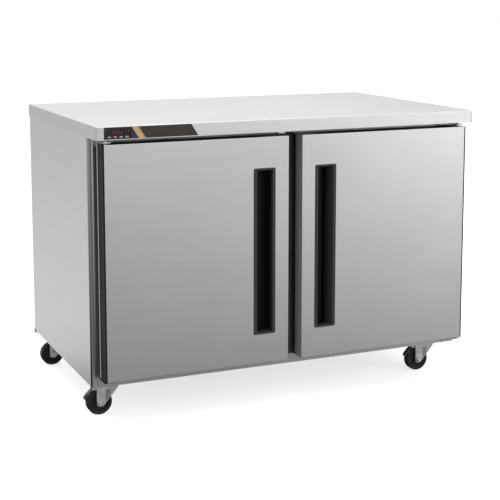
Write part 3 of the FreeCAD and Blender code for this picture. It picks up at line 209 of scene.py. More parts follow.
def zinc(name, color, roughness=0.34, metallic=1.0):
    """Zinc plating: a slightly mottled metal with duller patches."""
    shader = Shader(name, metallic=metallic)
    clouds = shader.noise(55.0, detail=4.0)
    shader.color(shader.spread(clouds, 0, 1), tint(color, 0.80), tint(color, 1.06))
    shader.rough(clouds, roughness - 0.08, roughness + 0.12)
    shader.bump(shader.noise(900.0, detail=2.0), 0.03 * MM, 0.4)
    return shader.material


def galvanised(name, color):
    """Hot-dip zinc with its crystal pattern."""
    shader = Shader(name, metallic=1.0)
    crystals = shader.cells(85.0, output="Color")
    grey = shader.add("ShaderNodeRGBToBW")
    shader.link(crystals, grey.inputs["Color"])
    shade = shader.sum(grey.outputs["Val"], shader.noise(7.0, detail=4.0), 0.8)
    shader.color(shader.spread(shade, 0, 1, 0.5, 1.3), tint(color, 0.86), tint(color, 1.07))
    shader.rough(grey.outputs["Val"], 0.38, 0.56)
    shader.bump(shader.noise(300.0, detail=2.0), 0.03 * MM, 0.4)
    return shader.material


def stucco_aluminium(name, color):
    """Embossed liner sheet: small raised cells."""
    shader = Shader(name, metallic=1.0)
    cells = shader.cells(260.0, feature="SMOOTH_F1")
    clouds = shader.noise(5.0, detail=3.0)
    shader.color(shader.spread(clouds, 0, 1), tint(color, 0.93), tint(color, 1.04))
    shader.rough(clouds, 0.34, 0.46)
    shader.bump(cells, 0.35 * MM, 0.8)
    return shader.material


def plastic(
    name, color, roughness, grain=0.05, scale=700.0, variation=0.12, coat=0.0, specular=0.5
):
    """Moulded plastic with a fine texture and slight unevenness."""
    shader = Shader(name, Coat_Weight=coat, Coat_Roughness=0.12, Specular_IOR_Level=specular)
    clouds = shader.noise(22.0, detail=4.0)
    shader.color(
        shader.spread(clouds, 0, 1), tint(color, 1 - variation), tint(color, 1 + variation)
    )
    shader.rough(clouds, roughness - 0.06, roughness + 0.07)
    shader.bump(shader.noise(scale, detail=2.0), grain * MM, 0.5)
    return shader.material


def shaded_pull(name, rim, deep_shade, roughness):
    """Satin plastic round the rim of a pull; deeper inside, its colour is darkened to near black as
    painted shade.
    """
    shader = Shader(name, Specular_IOR_Level=0.16)
    face = low("door_handle_left").y
    # Painted shade: the colour goes from the rim's tone to near black with depth into the pull.
    inwards = shader.spread(shader.along("Y"), 1, 0, face + 10 * MM, face + 34 * MM)
    shader.color(inwards, deep_shade, rim)
    shader.rough(shader.noise(22.0, detail=4.0), roughness - 0.05, roughness + 0.05)
    shader.bump(shader.noise(90.0, detail=2.0), 0.03 * MM, 0.5)
    return shader.material


def trim(name, outer, inner, roughness):
    """Extruded black door trim; where it faces the other door its colour is grey, a painted
    highlight for the light that reaches the gap.
    """
    shader = Shader(name, Specular_IOR_Level=0.22)
    reach = shader.add("ShaderNodeMath", operation="ABSOLUTE")
    shader.link(shader.along("X"), reach.inputs[0])
    # Grey towards the latch side is a painted highlight; the trim is black.
    shader.color(shader.spread(reach.outputs[0], 1, 0, 0.05, 0.12), outer, inner)
    shader.rough(shader.noise(22.0, detail=4.0), roughness - 0.06, roughness + 0.06)
    shader.bump(shader.noise(260.0, (1, 1, 0.1), detail=2.0), 0.05 * MM, 0.5)
    return shader.material


def shaded_strip(name, foot, head, roughness, metallic=0.0):
    """A narrow strip, dark at its foot and lighter towards its head: painted shade below and a
    painted highlight above.
    """
    shader = Shader(name, metallic=metallic, Specular_IOR_Level=0.08)
    # Painted light: the colour ramps from the foot's dark tone up to the head's light tone.
    shader.color(shader.spread(shader.along("Z"), 0, 1, 0.15, 0.80), foot, head)
    shader.rough(shader.noise(22.0, detail=4.0), roughness - 0.06, roughness + 0.06)
    return shader.material


def rubber(name, color, roughness=0.62):
    """Rubber with scuffs and a little dust in its low spots."""
    shader = Shader(name)
    dust = shader.noise(60.0, detail=6.0)
    shader.color(shader.spread(dust, 0, 1, 0.4, 0.75), color, tint(color, 2.0))
    shader.rough(dust, roughness - 0.12, roughness + 0.14)
    shader.bump(shader.noise(1400.0, detail=2.0), 0.05 * MM, 0.5)
    return shader.material


def paint(name, color, roughness):
    """Sprayed paint with a faint orange-peel surface."""
    shader = Shader(name, Coat_Weight=0.3, Coat_Roughness=0.2)
    clouds = shader.noise(14.0, detail=4.0)
    shader.color(shader.spread(clouds, 0, 1), tint(color, 0.93), tint(color, 1.05))
    shader.rough(clouds, roughness - 0.05, roughness + 0.06)
    shader.bump(shader.noise(420.0, detail=1.5), 0.08 * MM, 0.4)
    return shader.material


def insulation(name, color):
    """Cut rigid foam: fine closed cells."""
    shader = Shader(name, roughness=0.9)
    cells = shader.cells(900.0)
    shader.color(shader.spread(shader.noise(9.0), 0, 1), tint(color, 0.88), tint(color, 1.05))
    shader.bump(cells, 0.5 * MM, 0.7)
    return shader.material


def copper(name, color):
    """Drawn copper tube with brown patches where it was brazed and handled."""
    shader = Shader(name, metallic=1.0)
    stain = shader.noise(26.0, detail=5.0)
    shader.color(shader.spread(stain, 0, 1, 0.35, 0.7), tint(color, 1.05), tint(color, 0.5))
    shader.rough(stain, 0.25, 0.5)
    shader.bump(shader.noise(500.0), 0.03 * MM, 0.4)
    return shader.material


def fins(name, color):
    """Thin pressed fins, dulled with a little dust."""
    shader = Shader(name, metallic=1.0)
    dust = shader.noise(40.0, detail=5.0)
    shader.color(shader.spread(dust, 0, 1), color, tint(color, 0.72))
    shader.rough(dust, 0.35, 0.6)
    shader.bump(shader.noise(240.0, (1, 1, 4)), 0.2 * MM, 0.4)
    return shader.material


def printed_film(name, color):
    """Screen-printed polyester overlay: satin, with a fine pebble."""
    shader = Shader(name, Specular_IOR_Level=0.3)
    clouds = shader.noise(30.0, detail=3.0)
    shader.color(shader.spread(clouds, 0, 1), tint(color, 0.88), tint(color, 1.12))
    shader.rough(clouds, 0.36, 0.48)
    shader.bump(shader.noise(2200.0, detail=1.0), 0.02 * MM, 0.5)
    return shader.material


def glow(name, color, strength):
    """Light-emitting print: brighter and dimmer by its grain."""
    shader = Shader(name, roughness=0.4)
    grain = shader.noise(900.0, detail=1.0)
    shader.color(shader.spread(grain, 0, 1), tint(color, 0.7), color)
    shader.bsdf.inputs["Emission Color"].default_value = (*color, 1)
    shader.bsdf.inputs["Emission Strength"].default_value = strength
    return shader.material


# What the metal mirrors: floor tones close in front (darker there as painted shadow), far in front
# and behind, and the sky.
FLOOR_NEAR_SHADOW = 0.20
FLOOR_FAR = 0.80
FLOOR_BEHIND = 0.80
FLOOR_GLOW = 0.65
SKY_IN_FRONT = 0.72
SKY_BEHIND = 0.872
STEEL = (0.60, 0.60, 0.595)
BLACK = (0.012, 0.012, 0.013)

MATERIALS = {
    "top_steel": brushed_steel("top_steel", (0.66, 0.66, 0.655), 0.34, "x", (0, 1, 0)),
    "sheet_steel": brushed_steel("sheet_steel", STEEL, 0.30, "y", (0, 0, 1)),
    "door_steel": brushed_steel("door_steel", STEEL, 0.30, "x", (0, 0, 1)),
    "zinc": zinc("zinc", (0.84, 0.84, 0.83)),
    "bolt_steel": zinc("bolt_steel", (0.66, 0.65, 0.62), 0.26),
    "galvanised": galvanised("galvanised", (0.60, 0.62, 0.63)),
    "stucco_aluminium": stucco_aluminium("stucco_aluminium", (0.78, 0.79, 0.80)),
    "foam": insulation("foam", (0.80, 0.70, 0.44)),
    "black_plastic": plastic("black_plastic", BLACK, 0.36),
    # The pull's near-black colour deep inside is painted shade.
    "pull_plastic_and_shade": shaded_pull("pull_plastic_and_shade", (0.050, 0.050, 0.051), (0.003, 0.003, 0.003), 0.36),
    # cover_plastic is a grey copy of black plastic: the grey is painted light for the light
    # reaching the mullion cover in the door gap.
    "cover_plastic": plastic("cover_plastic", (0.092, 0.092, 0.093), 0.5, specular=0.3),
    # door_edge: black trim, grey on the latch side as a painted highlight.
    "door_edge": trim("door_edge", (0.010, 0.010, 0.011), (0.36, 0.36, 0.365), 0.55),
    # Darker zinc for the painted shade plates on the caster legs.
    "shade_zinc": zinc("shade_zinc", (0.40, 0.40, 0.40), 0.5, 0.6),
    "fork_zinc": zinc("fork_zinc", (0.80, 0.80, 0.79), 0.40, 0.6),
    "pedal_steel": zinc("pedal_steel", (0.16, 0.16, 0.165), 0.42),
    "white_plastic": plastic("white_plastic", (0.74, 0.75, 0.76), 0.34, 0.03, 300.0, 0.03),
    "grey_plastic": plastic("grey_plastic", (0.22, 0.225, 0.235), 0.45),
    "gasket": rubber("gasket", (0.016, 0.016, 0.018), 0.5),
    # Sealant and bead are graded dark to light upwards as painted shade and highlight.
    "sealant": shaded_strip("sealant", (0.014, 0.014, 0.015), (0.36, 0.36, 0.36), 0.7),
    "bead_steel": shaded_strip("bead_steel", (0.14, 0.14, 0.14), (0.85, 0.85, 0.845), 0.35, 0.3),
    "soft_black": plastic("soft_black", (0.016, 0.016, 0.017), 0.7, specular=0.08),
    "wheel_rubber": rubber("wheel_rubber", (0.012, 0.012, 0.013)),
    "film": printed_film("film", (0.045, 0.036, 0.032)),
    "amber_film": printed_film("amber_film", (0.80, 0.46, 0.08)),
    "pale_film": printed_film("pale_film", (0.72, 0.72, 0.70)),
    "lens": plastic("lens", (0.008, 0.005, 0.006), 0.22, 0.005, 900.0, 0.2, 0.2, 0.3),
    "red_glow": glow("red_glow", (0.24, 0.010, 0.026), 0.10),
    "white_print": glow("white_print", (0.75, 0.76, 0.78), 0.15),
    "key_plastic": plastic("key_plastic", (0.46, 0.45, 0.46), 0.4),
    "coated_wire": paint("coated_wire", (0.66, 0.67, 0.68), 0.35),
    "white_paint": paint("white_paint", (0.76, 0.77, 0.78), 0.34),
    "black_paint": paint("black_paint", (0.010, 0.010, 0.011), 0.30),
    "motor_paint": paint("motor_paint", (0.05, 0.05, 0.055), 0.42),
    "fins": fins("fins", (0.66, 0.67, 0.68)),
    "copper": copper("copper", (0.72, 0.36, 0.21)),
    "fan_plastic": plastic("fan_plastic", (0.035, 0.035, 0.038), 0.45),
    "red_wire": plastic("red_wire", (0.45, 0.03, 0.03), 0.45),
    "blue_wire": plastic("blue_wire", (0.03, 0.06, 0.35), 0.45),
}

# The look of every node whose name is, or starts with, the key.
NODE_LOOK = {
    "worktop": "top_steel",
    "side_panel_": "sheet_steel",
    "face_frame": "door_steel",
    "back_panel": "galvanised",
    "rear_grille": "galvanised",
    "base_pan": "galvanised",
    "cabinet_foam": "foam",
    "inner_liner": "stucco_aluminium",
    "mullion_post": "white_plastic",
    # The mullion cover's grey is painted light; the cover is black plastic.
    "mullion_cover": "cover_plastic",
    "label_plate": "film",
    "display_lens": "lens",
    "key_": "key_plastic",
    "control_housing": "black_plastic",
    "hinge_brackets": "bolt_steel",
    "shelf_standards": "zinc",
    "shelf_clips": "zinc",
    "shelf_left": "coated_wire",
    "shelf_right": "coated_wire",
    "evaporator_coil": "fins",
    "evaporator_cover": "white_paint",
    "evaporator_fan_motor": "motor_paint",
    "evaporator_fan_blade": "fan_plastic",
    "compressor": "black_paint",
    "condenser_coil": "fins",
    "condenser_fan_motor": "motor_paint",
    "condenser_fan_blade": "fan_plastic",
    "condensate_pan": "grey_plastic",
    "refrigerant_lines": "copper",
    "caster_plates": "zinc",
    "screws": "bolt_steel",
    "cord_gland": "black_plastic",
    "door_skin_": "door_steel",
    "door_edge_": "door_edge",
    "door_foam_": "foam",
    "door_liner_": "white_plastic",
    "door_gasket_": "gasket",
    "door_handle_": "pull_plastic_and_shade",
    "hinge_bushes_": "white_plastic",
    "caster_fork_": "fork_zinc",
    "wheel_": "wheel_rubber",
    "brake_pedal_": "pedal_steel",
}


def dress_nodes():
    """Gives every CAD node its finish."""
    for name, node in frame["nodes"].items():
        look = next(look for start, look in NODE_LOOK.items() if name.startswith(start))
        node.data.materials.clear()
        node.data.materials.append(MATERIALS[look])
        for face in node.data.polygons:
            face.material_index = 0


# ---------------- mesh building


class Piece:
    """One mesh object put together from simple solids, all in the row frame."""

    def __init__(self):
        self.mesh = bmesh.new()

    def loop(self, points):
        return [self.mesh.verts.new(point) for point in points]

    def bridge(self, loops, around=False):
        """Joins each loop of vertices to the next, then last to first or else closes both ends."""
        for here, after in zip(loops, loops[1:] + (loops[:1] if around else [])):
            for i in range(len(here)):
                j = (i + 1) % len(here)
                self.mesh.faces.new((here[i], here[j], after[j], after[i]))
        if not around:
            self.mesh.faces.new(list(reversed(loops[0])))
            self.mesh.faces.new(loops[-1])
        return self

    def block(self, a, b, bevel=0.0):
        """A box between any two opposite corners."""
        made = bmesh.ops.create_cube(self.mesh, size=1.0)["verts"]
        a, b = (Vector(map(pick, a, b)) for pick in (min, max))
        size, mid = b - a, (a + b) / 2
        for vertex in made:
            vertex.co = Vector(c * s for c, s in zip(vertex.co, size)) + mid
        if bevel:
            edges = list({e for v in made for e in v.link_edges})
            bmesh.ops.bevel(self.mesh, geom=edges, offset=bevel, segments=2, affect="EDGES")
        return self

    def turned(self, origin, axis, profile, segments):
        """Turns (distance along the axis, radius) points about an axis, and closes both ends."""
        to_axis = Vector(axis).to_track_quat("Z", "Y").to_matrix()
        return self.bridge([
            self.loop(
                Vector(origin)
                + to_axis @ Vector((radius * math.cos(angle), radius * math.sin(angle), along))
                for angle in angles(segments)
            )
            for along, radius in profile
        ])

    def ring(self, origin, axis, major, minor, segments, sides):
        """A torus about an axis."""
        to_axis = Vector(axis).to_track_quat("Z", "Y").to_matrix()
        loops = []
        for turn in angles(segments):
            section = []
            for angle in angles(sides):
                reach = major + minor * math.cos(angle)
                local = (reach * math.cos(turn), reach * math.sin(turn), minor * math.sin(angle))
                section.append(Vector(origin) + to_axis @ Vector(local))
            loops.append(self.loop(section))
        return self.bridge(loops, around=True)

    def tube(self, points, radius, sides):
        """A round bar through the points, turned smoothly at each one."""
        points = [Vector(point) for point in points]
        loops = []
        normal = None
        for before, point, after in zip(points[:1] + points, points, points[1:] + points[-1:]):
            heading = (after - before).normalized()
            if normal is None:
                normal = heading.orthogonal().normalized()
            normal = (normal - heading * normal.dot(heading)).normalized()
            side = heading.cross(normal)
            loops.append(self.loop(
                point + radius * (math.cos(angle) * normal + math.sin(angle) * side)
                for angle in angles(sides)
            ))
        return self.bridge(loops)

    def ball(self, origin, radius, segments):
        made = bmesh.ops.create_uvsphere(
            self.mesh, u_segments=segments, v_segments=segments // 2, radius=radius
        )["verts"]
        for vertex in made:
            vertex.co += Vector(origin)
        return self

    def prism(self, outline, direction, thickness):
        """A plate: a flat outline pushed along a direction."""
        push = Vector(direction).normalized() * thickness
        return self.bridge([
            self.loop(Vector(point) + offset for point in outline) for offset in (Vector(), push)
        ])

    def done(self, name, body, look, slot, sharp=35.0, bevel=0.0):
        """Makes the object, and says what it rides on. The slot argument is not used."""
        bmesh.ops.recalc_face_normals(self.mesh, faces=self.mesh.faces)
        data = bpy.data.meshes.new(name)
        self.mesh.to_mesh(data)
        self.mesh.free()
        for face in data.polygons:
            face.use_smooth = True
        data.set_sharp_from_angle(angle=math.radians(sharp))
        piece = bpy.data.objects.new(name, data)
        bpy.context.scene.collection.objects.link(piece)
        data.materials.append(MATERIALS[look])
        if bevel:
            edge = piece.modifiers.new("edge", "BEVEL")
            edge.width = bevel
            edge.segments = 2
            edge.limit_method = "ANGLE"
        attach(piece, body)
        return piece


def arc_points(origin, u, v, radius, start, stop, count):
    """Points on an arc in the plane of u and v, from start to stop degrees."""
    points = []
    for i in range(count):
        angle = math.radians(start + (stop - start) * i / (count - 1))
        out = math.cos(angle) * Vector(u) + math.sin(angle) * Vector(v)
        points.append(Vector(origin) + radius * out)
    return points


# ---------------- control panel


SEGMENTS = {"3": "abgcd", "8": "abcdefg"}   # which bars of a seven-segment figure are lit
PRINT = 0.06 * MM                           # how far the display's marks stand off the lens


def digit(piece, x, z, y, width, tall, stroke, shown):
    """A seven-segment figure, each segment a thin six-sided bar."""
    half = tall / 2
    places = {
        "a": ((0, tall), True), "g": ((0, half), True), "d": ((0, 0), True),
        "f": ((-width / 2, half), False), "b": ((width / 2, half), False),
        "e": ((-width / 2, 0), False), "c": ((width / 2, 0), False),
    }
    t = stroke / 2
    gap = stroke * 0.16
    for key in SEGMENTS[shown]:
        (dx, dz), flat = places[key]
        if flat:
            reach = width / 2 - gap
            shape = [
                (-reach, 0), (-reach + t, t), (reach - t, t),
                (reach, 0), (reach - t, -t), (-reach + t, -t),
            ]
        else:
            reach = half - gap
            shape = [
                (0, gap), (t, gap + t), (t, reach - t),
                (0, reach), (-t, reach - t), (-t, gap + t),
            ]
        piece.prism([(x + dx + a, y, z + dz + b) for a, b in shape], (0, -1, 0), PRINT)


def make_panel():
    """What is printed on the control panel and shows through it. The marks say nothing."""
    lens_low, lens_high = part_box("display_lens")
    face = lens_low.y
    width = lens_high.x - lens_low.x
    digits = Piece()
    tall = 9.6 * MM
    floor = lens_high.z - 6.8 * MM - tall
    for share, shown in ((0.32, "3"), (0.49, "8")):
        digit(digits, lens_low.x + share * width, floor, face, 7.0 * MM, tall, 1.35 * MM, shown)
    digits.done("display_digits", "cabinet", "red_glow", "lens")

    dots = Piece()
    for share, drop, radius in (
        (0.045, 5.6, 0.8), (0.90, 7.6, 0.9), (0.63, 9.4, 0.6), (0.63, 13.6, 0.6),
    ):
        origin = (lens_low.x + share * width, face, lens_high.z - drop * MM)
        dots.turned(origin, (0, -1, 0), [(0, radius * MM), (PRINT, radius * MM)], 16)
    dots.done("display_lamps", "cabinet", "white_print", "lens")

    plate_low, plate_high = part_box("label_plate")
    plate_face = plate_low.y
    slant = 21.0 * MM      # how far the band leans over the label's height
    top, foot = plate_high.z - 0.2 * MM, plate_low.z + 0.2 * MM
    for name, start, wide, look in (
        ("label_band", 86.0, 9.5, "amber_film"),
        ("label_edge_left", 81.0, 3.2, "pale_film"),
        ("label_edge_right", 97.5, 1.8, "pale_film"),
    ):
        band = Piece()
        top_x = plate_low.x + start * MM
        wide *= MM
        band.prism(
            [
                (top_x, plate_face, top), (top_x + wide, plate_face, top),
                (top_x + wide + slant, plate_face, foot), (top_x + slant, plate_face, foot),
            ],
            (0, -1, 0), 0.08 * MM,
        )
        band.done(name, "cabinet", look, "label")

    marks = {
        "key_set": [(-1.3, -0.45), (1.3, -0.45), (1.3, 0.45), (-1.3, 0.45)],
        "key_up": [(-1.2, -0.8), (1.2, -0.8), (0, 1.0)],
        "key_down": [(-1.2, 0.8), (0, -1.0), (1.2, 0.8)],
        "key_light": [(math.cos(angle), math.sin(angle)) for angle in angles(12)],
    }
    for key, shape in marks.items():
        middle = centre(key)
        front = low(key).y
        Piece().prism(
            [(middle.x + a * MM, front, middle.z + b * MM) for a, b in shape],
            (0, -1, 0), 0.05 * MM,
        ).done(key + "_mark", key, "black_plastic", "keys")


# ---------------- casters


LEG_FACE = 17.5 * MM      # from the middle of a caster to the outside of its legs


def make_race_balls(name, swivel):
    """Balls of the swivel race, in the gap between the fork and the top plate."""
    balls = Piece()
    level = high("caster_fork_" + name).z
    reach = 22.6 * MM
    for turn in angles(18):
        spot = (swivel.x + reach * math.cos(turn), swivel.y + reach * math.sin(turn), level)
        balls.ball(spot, 2.4 * MM, 10)
    balls.done("race_balls_" + name, "caster_" + name, "bolt_steel", "zinc")


def make_wheel_ribs(name, axle):
    """Rim and spokes on both faces of a wheel."""
    hub = Piece()
    for side in (-1, 1):
        hub.turned(
            axle, (0, side, 0),
            [
                (4.4 * MM, 24.0 * MM), (5.2 * MM, 24.4 * MM), (6.2 * MM, 22.0 * MM),
                (5.6 * MM, 20.4 * MM), (4.4 * MM, 20.0 * MM),
            ],
            40,
        )
        for turn in angles(8):
            spoke = Vector((math.cos(turn), 0, math.sin(turn)))
            tip = axle + spoke * 21.0 * MM + Vector((0, side * 5.0 * MM, 0))
            foot = axle + spoke * 9.0 * MM + Vector((0, side * 6.4 * MM, 0))
            hub.tube([foot, tip], 1.5 * MM, 8)
    hub.done("wheel_ribs_" + name, "wheel_" + name, "wheel_rubber", "wheel_rubber")


def make_washers(name, axle):
    """Washers under the axle's head and nut, against the outside of the legs."""
    washers = Piece()
    rim = [(LEG_FACE, 9.2 * MM), (LEG_FACE + 0.9 * MM, 9.2 * MM), (LEG_FACE + 1.2 * MM, 8.8 * MM)]
    for side in (-1, 1):
        washers.turned(axle, (0, side, 0), rim, 36)
    washers.done("axle_washers_" + name, "caster_" + name, "bolt_steel", "zinc")


def make_fork_pressing(name, swivel, axle):
    """Rolled lip on the upper half of each leg's sloping edge, and next to it a thin darker zinc
    plate that is painted shade for a shadowed recess.
    """
    flange = Piece()
    top = Vector((swivel.x + 26 * MM, swivel.y, axle.z + 43.9 * MM))
    foot = Vector((swivel.x + 2 * MM, swivel.y, axle.z + 15.6 * MM))
    down = (foot - top).normalized()
    inward = Vector((down.z, 0, -down.x))
    for side in (-1, 1):
        face = Vector((0, side * LEG_FACE, 0))
        a, b = top + face + down * 3 * MM, foot + face
        flange.prism(
            [a + inward * 0.4 * MM, b + inward * 0.4 * MM,
             b + inward * 4.6 * MM, a + inward * 6.4 * MM],
            (0, side, 0), 1.8 * MM,
        )
    flange.done("fork_flanges_" + name, "caster_" + name, "fork_zinc", "zinc", bevel=0.6 * MM)

    # Painted shade: a thin dark plate on each leg where the fork's hollow lies in shadow.
    recess = Piece()
    left, right = swivel.x - 14 * MM, swivel.x + 1 * MM
    for side in (-1, 1):
        y = swivel.y + side * LEG_FACE
        recess.prism(
            [(left, y, axle.z + 38 * MM), (right, y, axle.z + 38 * MM),
             (right, y, axle.z + 15.8 * MM), (left, y, axle.z - 1.6 * MM)],
            (0, side, 0), 0.3 * MM,
        )
    recess.done("fork_shade_patch_" + name, "caster_" + name, "shade_zinc", "zinc")


def make_treads(name):
    """Ridges across a brake pedal's pad."""
    axle = joint_place("wheel_%s_spin" % name)
    pad = Piece()
    for index in range(5):
        angle = math.radians(146 + 3.4 * index)
        out = Vector((math.cos(angle), 0, math.sin(angle)))
        along = Vector((-out.z, 0, out.x)) * 1.0 * MM
        near = axle + out * (44.3 if index < 3 else 46.1) * MM - Vector((0, 8.4 * MM, 0))
        rise = out * 1.2 * MM
        pad.prism(
            [near - along, near + along, near + along * 0.6 + rise, near - along * 0.6 + rise],
            (0, 1, 0), 16.8 * MM,
        )
    pad.done("pedal_treads_" + name, "brake_pedal_" + name, "wheel_rubber", "zinc")


def make_casters():
    """What the plain forks, wheels and pedals of the casters leave out."""
    for name in CASTERS:
        swivel = joint_place("caster_%s_swivel" % name)
        axle = joint_place("wheel_%s_spin" % name)
        make_race_balls(name, swivel)
        make_wheel_ribs(name, axle)
        make_washers(name, axle)
        make_fork_pressing(name, swivel, axle)
    for name in BRAKED:
        make_treads(name)


# ---------------- doors


def make_gasket(side):
    """Magnetic gasket: dart, base, air chamber and soft sealing face, mitred at the corners."""
    node = "door_gasket_" + side
    a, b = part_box(node)
    full = 13.7           # the profile's depth in the list below, scaled to the CAD gasket's
    # (distance inwards from the gasket's outer edge, depth from its base)
    profile = [
        (0.0, 0.0), (0.0, 1.6), (1.4, 2.6), (1.4, 4.2), (0.6, 5.4), (0.9, 9.0), (1.6, 12.6),
        (3.2, 13.6), (8.0, 13.7), (12.8, 13.6), (14.4, 12.6), (15.1, 9.0), (15.4, 5.4), (14.6, 4.2),
        (14.6, 2.6), (16.0, 1.6), (16.0, 0.0),
    ]
    piece = Piece()
    loops = []
    for inward, out in profile:
        step = inward * MM
        y = a.y + out / full * (b.y - a.y)
        corners = [
            (a.x + step, a.z + step), (b.x - step, a.z + step),
            (b.x - step, b.z - step), (a.x + step, b.z - step),
        ]
        loops.append(piece.loop((x, y, z) for x, z in corners))
    piece.bridge(loops, around=True)
    made = piece.done("gasket_profile_" + side, "door_" + side, "gasket", "gasket", 50.0)
    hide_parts(node)


def make_door_inside(side):
    """Thermoformed panel inside the gasket, with a raised border."""
    a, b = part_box("door_liner_" + side)
    face = b.y
    inset = 44.0 * MM
    panel = Piece()
    loops = []
    border = ((0, 0), (3, 5), (6, 7.6), (10, 8.4), (26, 8.4), (31, 7.6), (35, 4.6), (44, 4.0))
    for inward, out in border:
        d = inset + inward * MM
        y = face + out * MM
        radius = max(4.0, 22.0 - inward * 0.3) * MM
        left, right = a.x + d + radius, b.x - d - radius
        foot, top = a.z + d + radius, b.z - d - radius
        ring = []
        for turn, (x, z) in enumerate(((right, top), (left, top), (left, foot), (right, foot))):
            start = 90 * turn
            ring += arc_points((x, y, z), (1, 0, 0), (0, 0, 1), radius, start, start + 90, 7)
        loops.append(panel.loop(ring))
    panel.bridge(loops)
    panel.done("door_inner_panel_" + side, "door_" + side, "white_plastic", "white_plastic", 60.0)


def make_latch_trim(side, sign):
    """Black strip on the latch side of the door, over the edge of the liner; the 8 mm by which it
    reaches forward of the liner is painted shade for the gap between the doors.
    """
    a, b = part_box("door_liner_" + side)
    face = end_x("door_liner_" + side, -sign)
    strip = Piece()
    strip.block(
        (face, a.y - 8 * MM, a.z + 1 * MM), (face - sign * 0.6 * MM, b.y, b.z - 1 * MM), 0.15 * MM
    )
    strip.done("latch_trim_" + side, "door_" + side, "black_plastic", "door_side_trim")


def make_hinge_trim(side, sign):
    """Lip of the dark edge trim round the hinge-side edge of the door skin."""
    a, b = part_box("door_skin_" + side)
    edge = end_x("door_skin_" + side, sign)
    outside, inside, front = edge + sign * 0.3 * MM, edge - sign * 3.6 * MM, a.y - 0.4 * MM
    outline = (
        (outside, b.y), (outside, front), (inside, front), (inside, a.y), (edge, a.y), (edge, b.y),
    )
    lip = Piece()
    lip.prism([(x, y, a.z) for x, y in outline], (0, 0, 1), b.z - a.z)
    lip.done("hinge_trim_" + side, "door_" + side, "soft_black", "door_side_trim")


# ---------------- outside of the cabinet


def make_apron_joints():
    """Fine joint where the apron's front meets its ends, and the clip under its front edge."""
    a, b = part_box("worktop")
    half = 0.6 * MM
    for side, sign in SIDES.items():
        line = Piece()
        x = end_x("worktop", sign) - sign * 4.6 * MM
        line.block(
            (x - half, a.y - 0.12 * MM, a.z + 0.6 * MM), (x + half, a.y, b.z - 4 * MM), 0.03 * MM
        )
        line.done("apron_joint_" + side, "cabinet", "grey_plastic", "stainless")
    clip = Piece()
    clip.block(
        (-54 * MM, a.y + 8.0 * MM, a.z - 5.6 * MM), (-34 * MM, a.y + 10.0 * MM, a.z), 0.4 * MM,
    )
    clip.done("apron_clip", "cabinet", "bolt_steel", "zinc")


def make_side_seam(side, sign):
    """Sealing strip over the joint of a side panel with the face frame."""
    a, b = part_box("side_panel_" + side)
    outer = end_x("side_panel_" + side, sign)
    strip = Piece()
    strip.block(
        (outer, a.y - 18.6 * MM, a.z + 1 * MM),
        (outer + sign * 0.5 * MM, a.y - 3.0 * MM, b.z - 1 * MM), 0.15 * MM,
    )
    # The seam's colour runs dark at the foot to lighter at the head as painted light.
    strip.done("side_seam_" + side, "cabinet", "sealant", "gasket")


def make_frame_edge(side, sign):
    """Breaker strip between the gasket and the frame's edge, which also stands in as painted shade
    for the shadow the door casts on the frame there, and a half-round bead next to it.
    """
    a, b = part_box("face_frame")
    gasket = "door_gasket_" + side
    inner = end_x(gasket, sign) + sign * 1 * MM
    outer = end_x("face_frame", sign) - sign * 13.5 * MM
    # The dark strip is partly a real breaker strip and partly painted shade on the frame's front.
    breaker_and_shade = Piece()
    breaker_and_shade.block(
        (inner, a.y - 0.5 * MM, low(gasket).z - 8 * MM), (outer, a.y, high(gasket).z + 8 * MM),
        0.15 * MM,
    )
    breaker_and_shade.done("breaker_strip_" + side, "cabinet", "cover_plastic", "black_plastic")

    bead = Piece()
    foot = a.z + 30 * MM
    middle = (outer + sign * 3.2 * MM, a.y, foot)
    bead.prism(
        arc_points(middle, (1, 0, 0), (0, -0.5, 0), 3 * MM, 0, 180, 11), (0, 0, 1), b.z - foot,
    )
    # The bead's colour runs dark at the foot to light at the head as painted light.
    bead.done("frame_bead_" + side, "cabinet", "bead_steel", "stainless")


def make_corner_cap(side, sign):
    """Hooked cap over the end of the bottom sheet, at a rear lower corner."""
    x, z = end_x("side_panel_" + side, sign), low("side_panel_" + side).z
    back = high("back_panel").y
    hook = ((0.4, -7), (0.4, 8), (-6, 8), (-6, -0.6), (-18, -0.6), (-18, -7))
    cap = Piece()
    cap.prism([(x, back + p * MM, z + q * MM) for p, q in hook], (sign, 0, 0), 1.2 * MM)
    cap.done("corner_cap_" + side, "cabinet", "black_plastic", "black_plastic")


# ---------------- inside


def make_fan_guard(origin, radius):
    """Wire finger guard: rings on four bent spokes that bulge towards the front."""
    guard = Piece()
    rings = 6
    for i in range(rings):
        share = (i + 1) / rings
        bulge = Vector((0, 7.0 * MM * (1 - share ** 2), 0))
        guard.ring(origin - bulge, (0, 1, 0), radius * share, 1.1 * MM, 56, 8)
    for i in range(4):
        turn = math.radians(45 + 90 * i)
        out = Vector((math.cos(turn), 0, math.sin(turn)))
        points = []
        for share in (k / 8 for k in range(9)):
            bulge = Vector((0, 9.0 * MM * (1 - share ** 2), 0))
            points.append(origin + out * radius * share * 1.08 - bulge)
        guard.tube(points, 1.3 * MM, 8)
    guard.done("evaporator_guard", "cabinet", "white_paint", "evaporator_paint")


def coil_bends(name, node):
    """Return bends that join neighbouring tubes at both ends of a coil."""
    a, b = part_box(node)
    rows = 4
    near = a.y + (b.y - a.y) * 0.27
    far = a.y + (b.y - a.y) * 0.73
    bends = Piece()
    for end, x in ((-1, a.x), (1, b.x)):
        for index in range(rows):
            middle = (x, (near + far) / 2, a.z + (b.z - a.z) * (index + 0.5) / rows)
            points = arc_points(middle, (0, -1, 0), (end, 0, 0), (far - near) / 2, 0, 180, 13)
            bends.tube(points, 4.8 * MM, 12)
    bends.done(name, "cabinet", "copper", "copper")


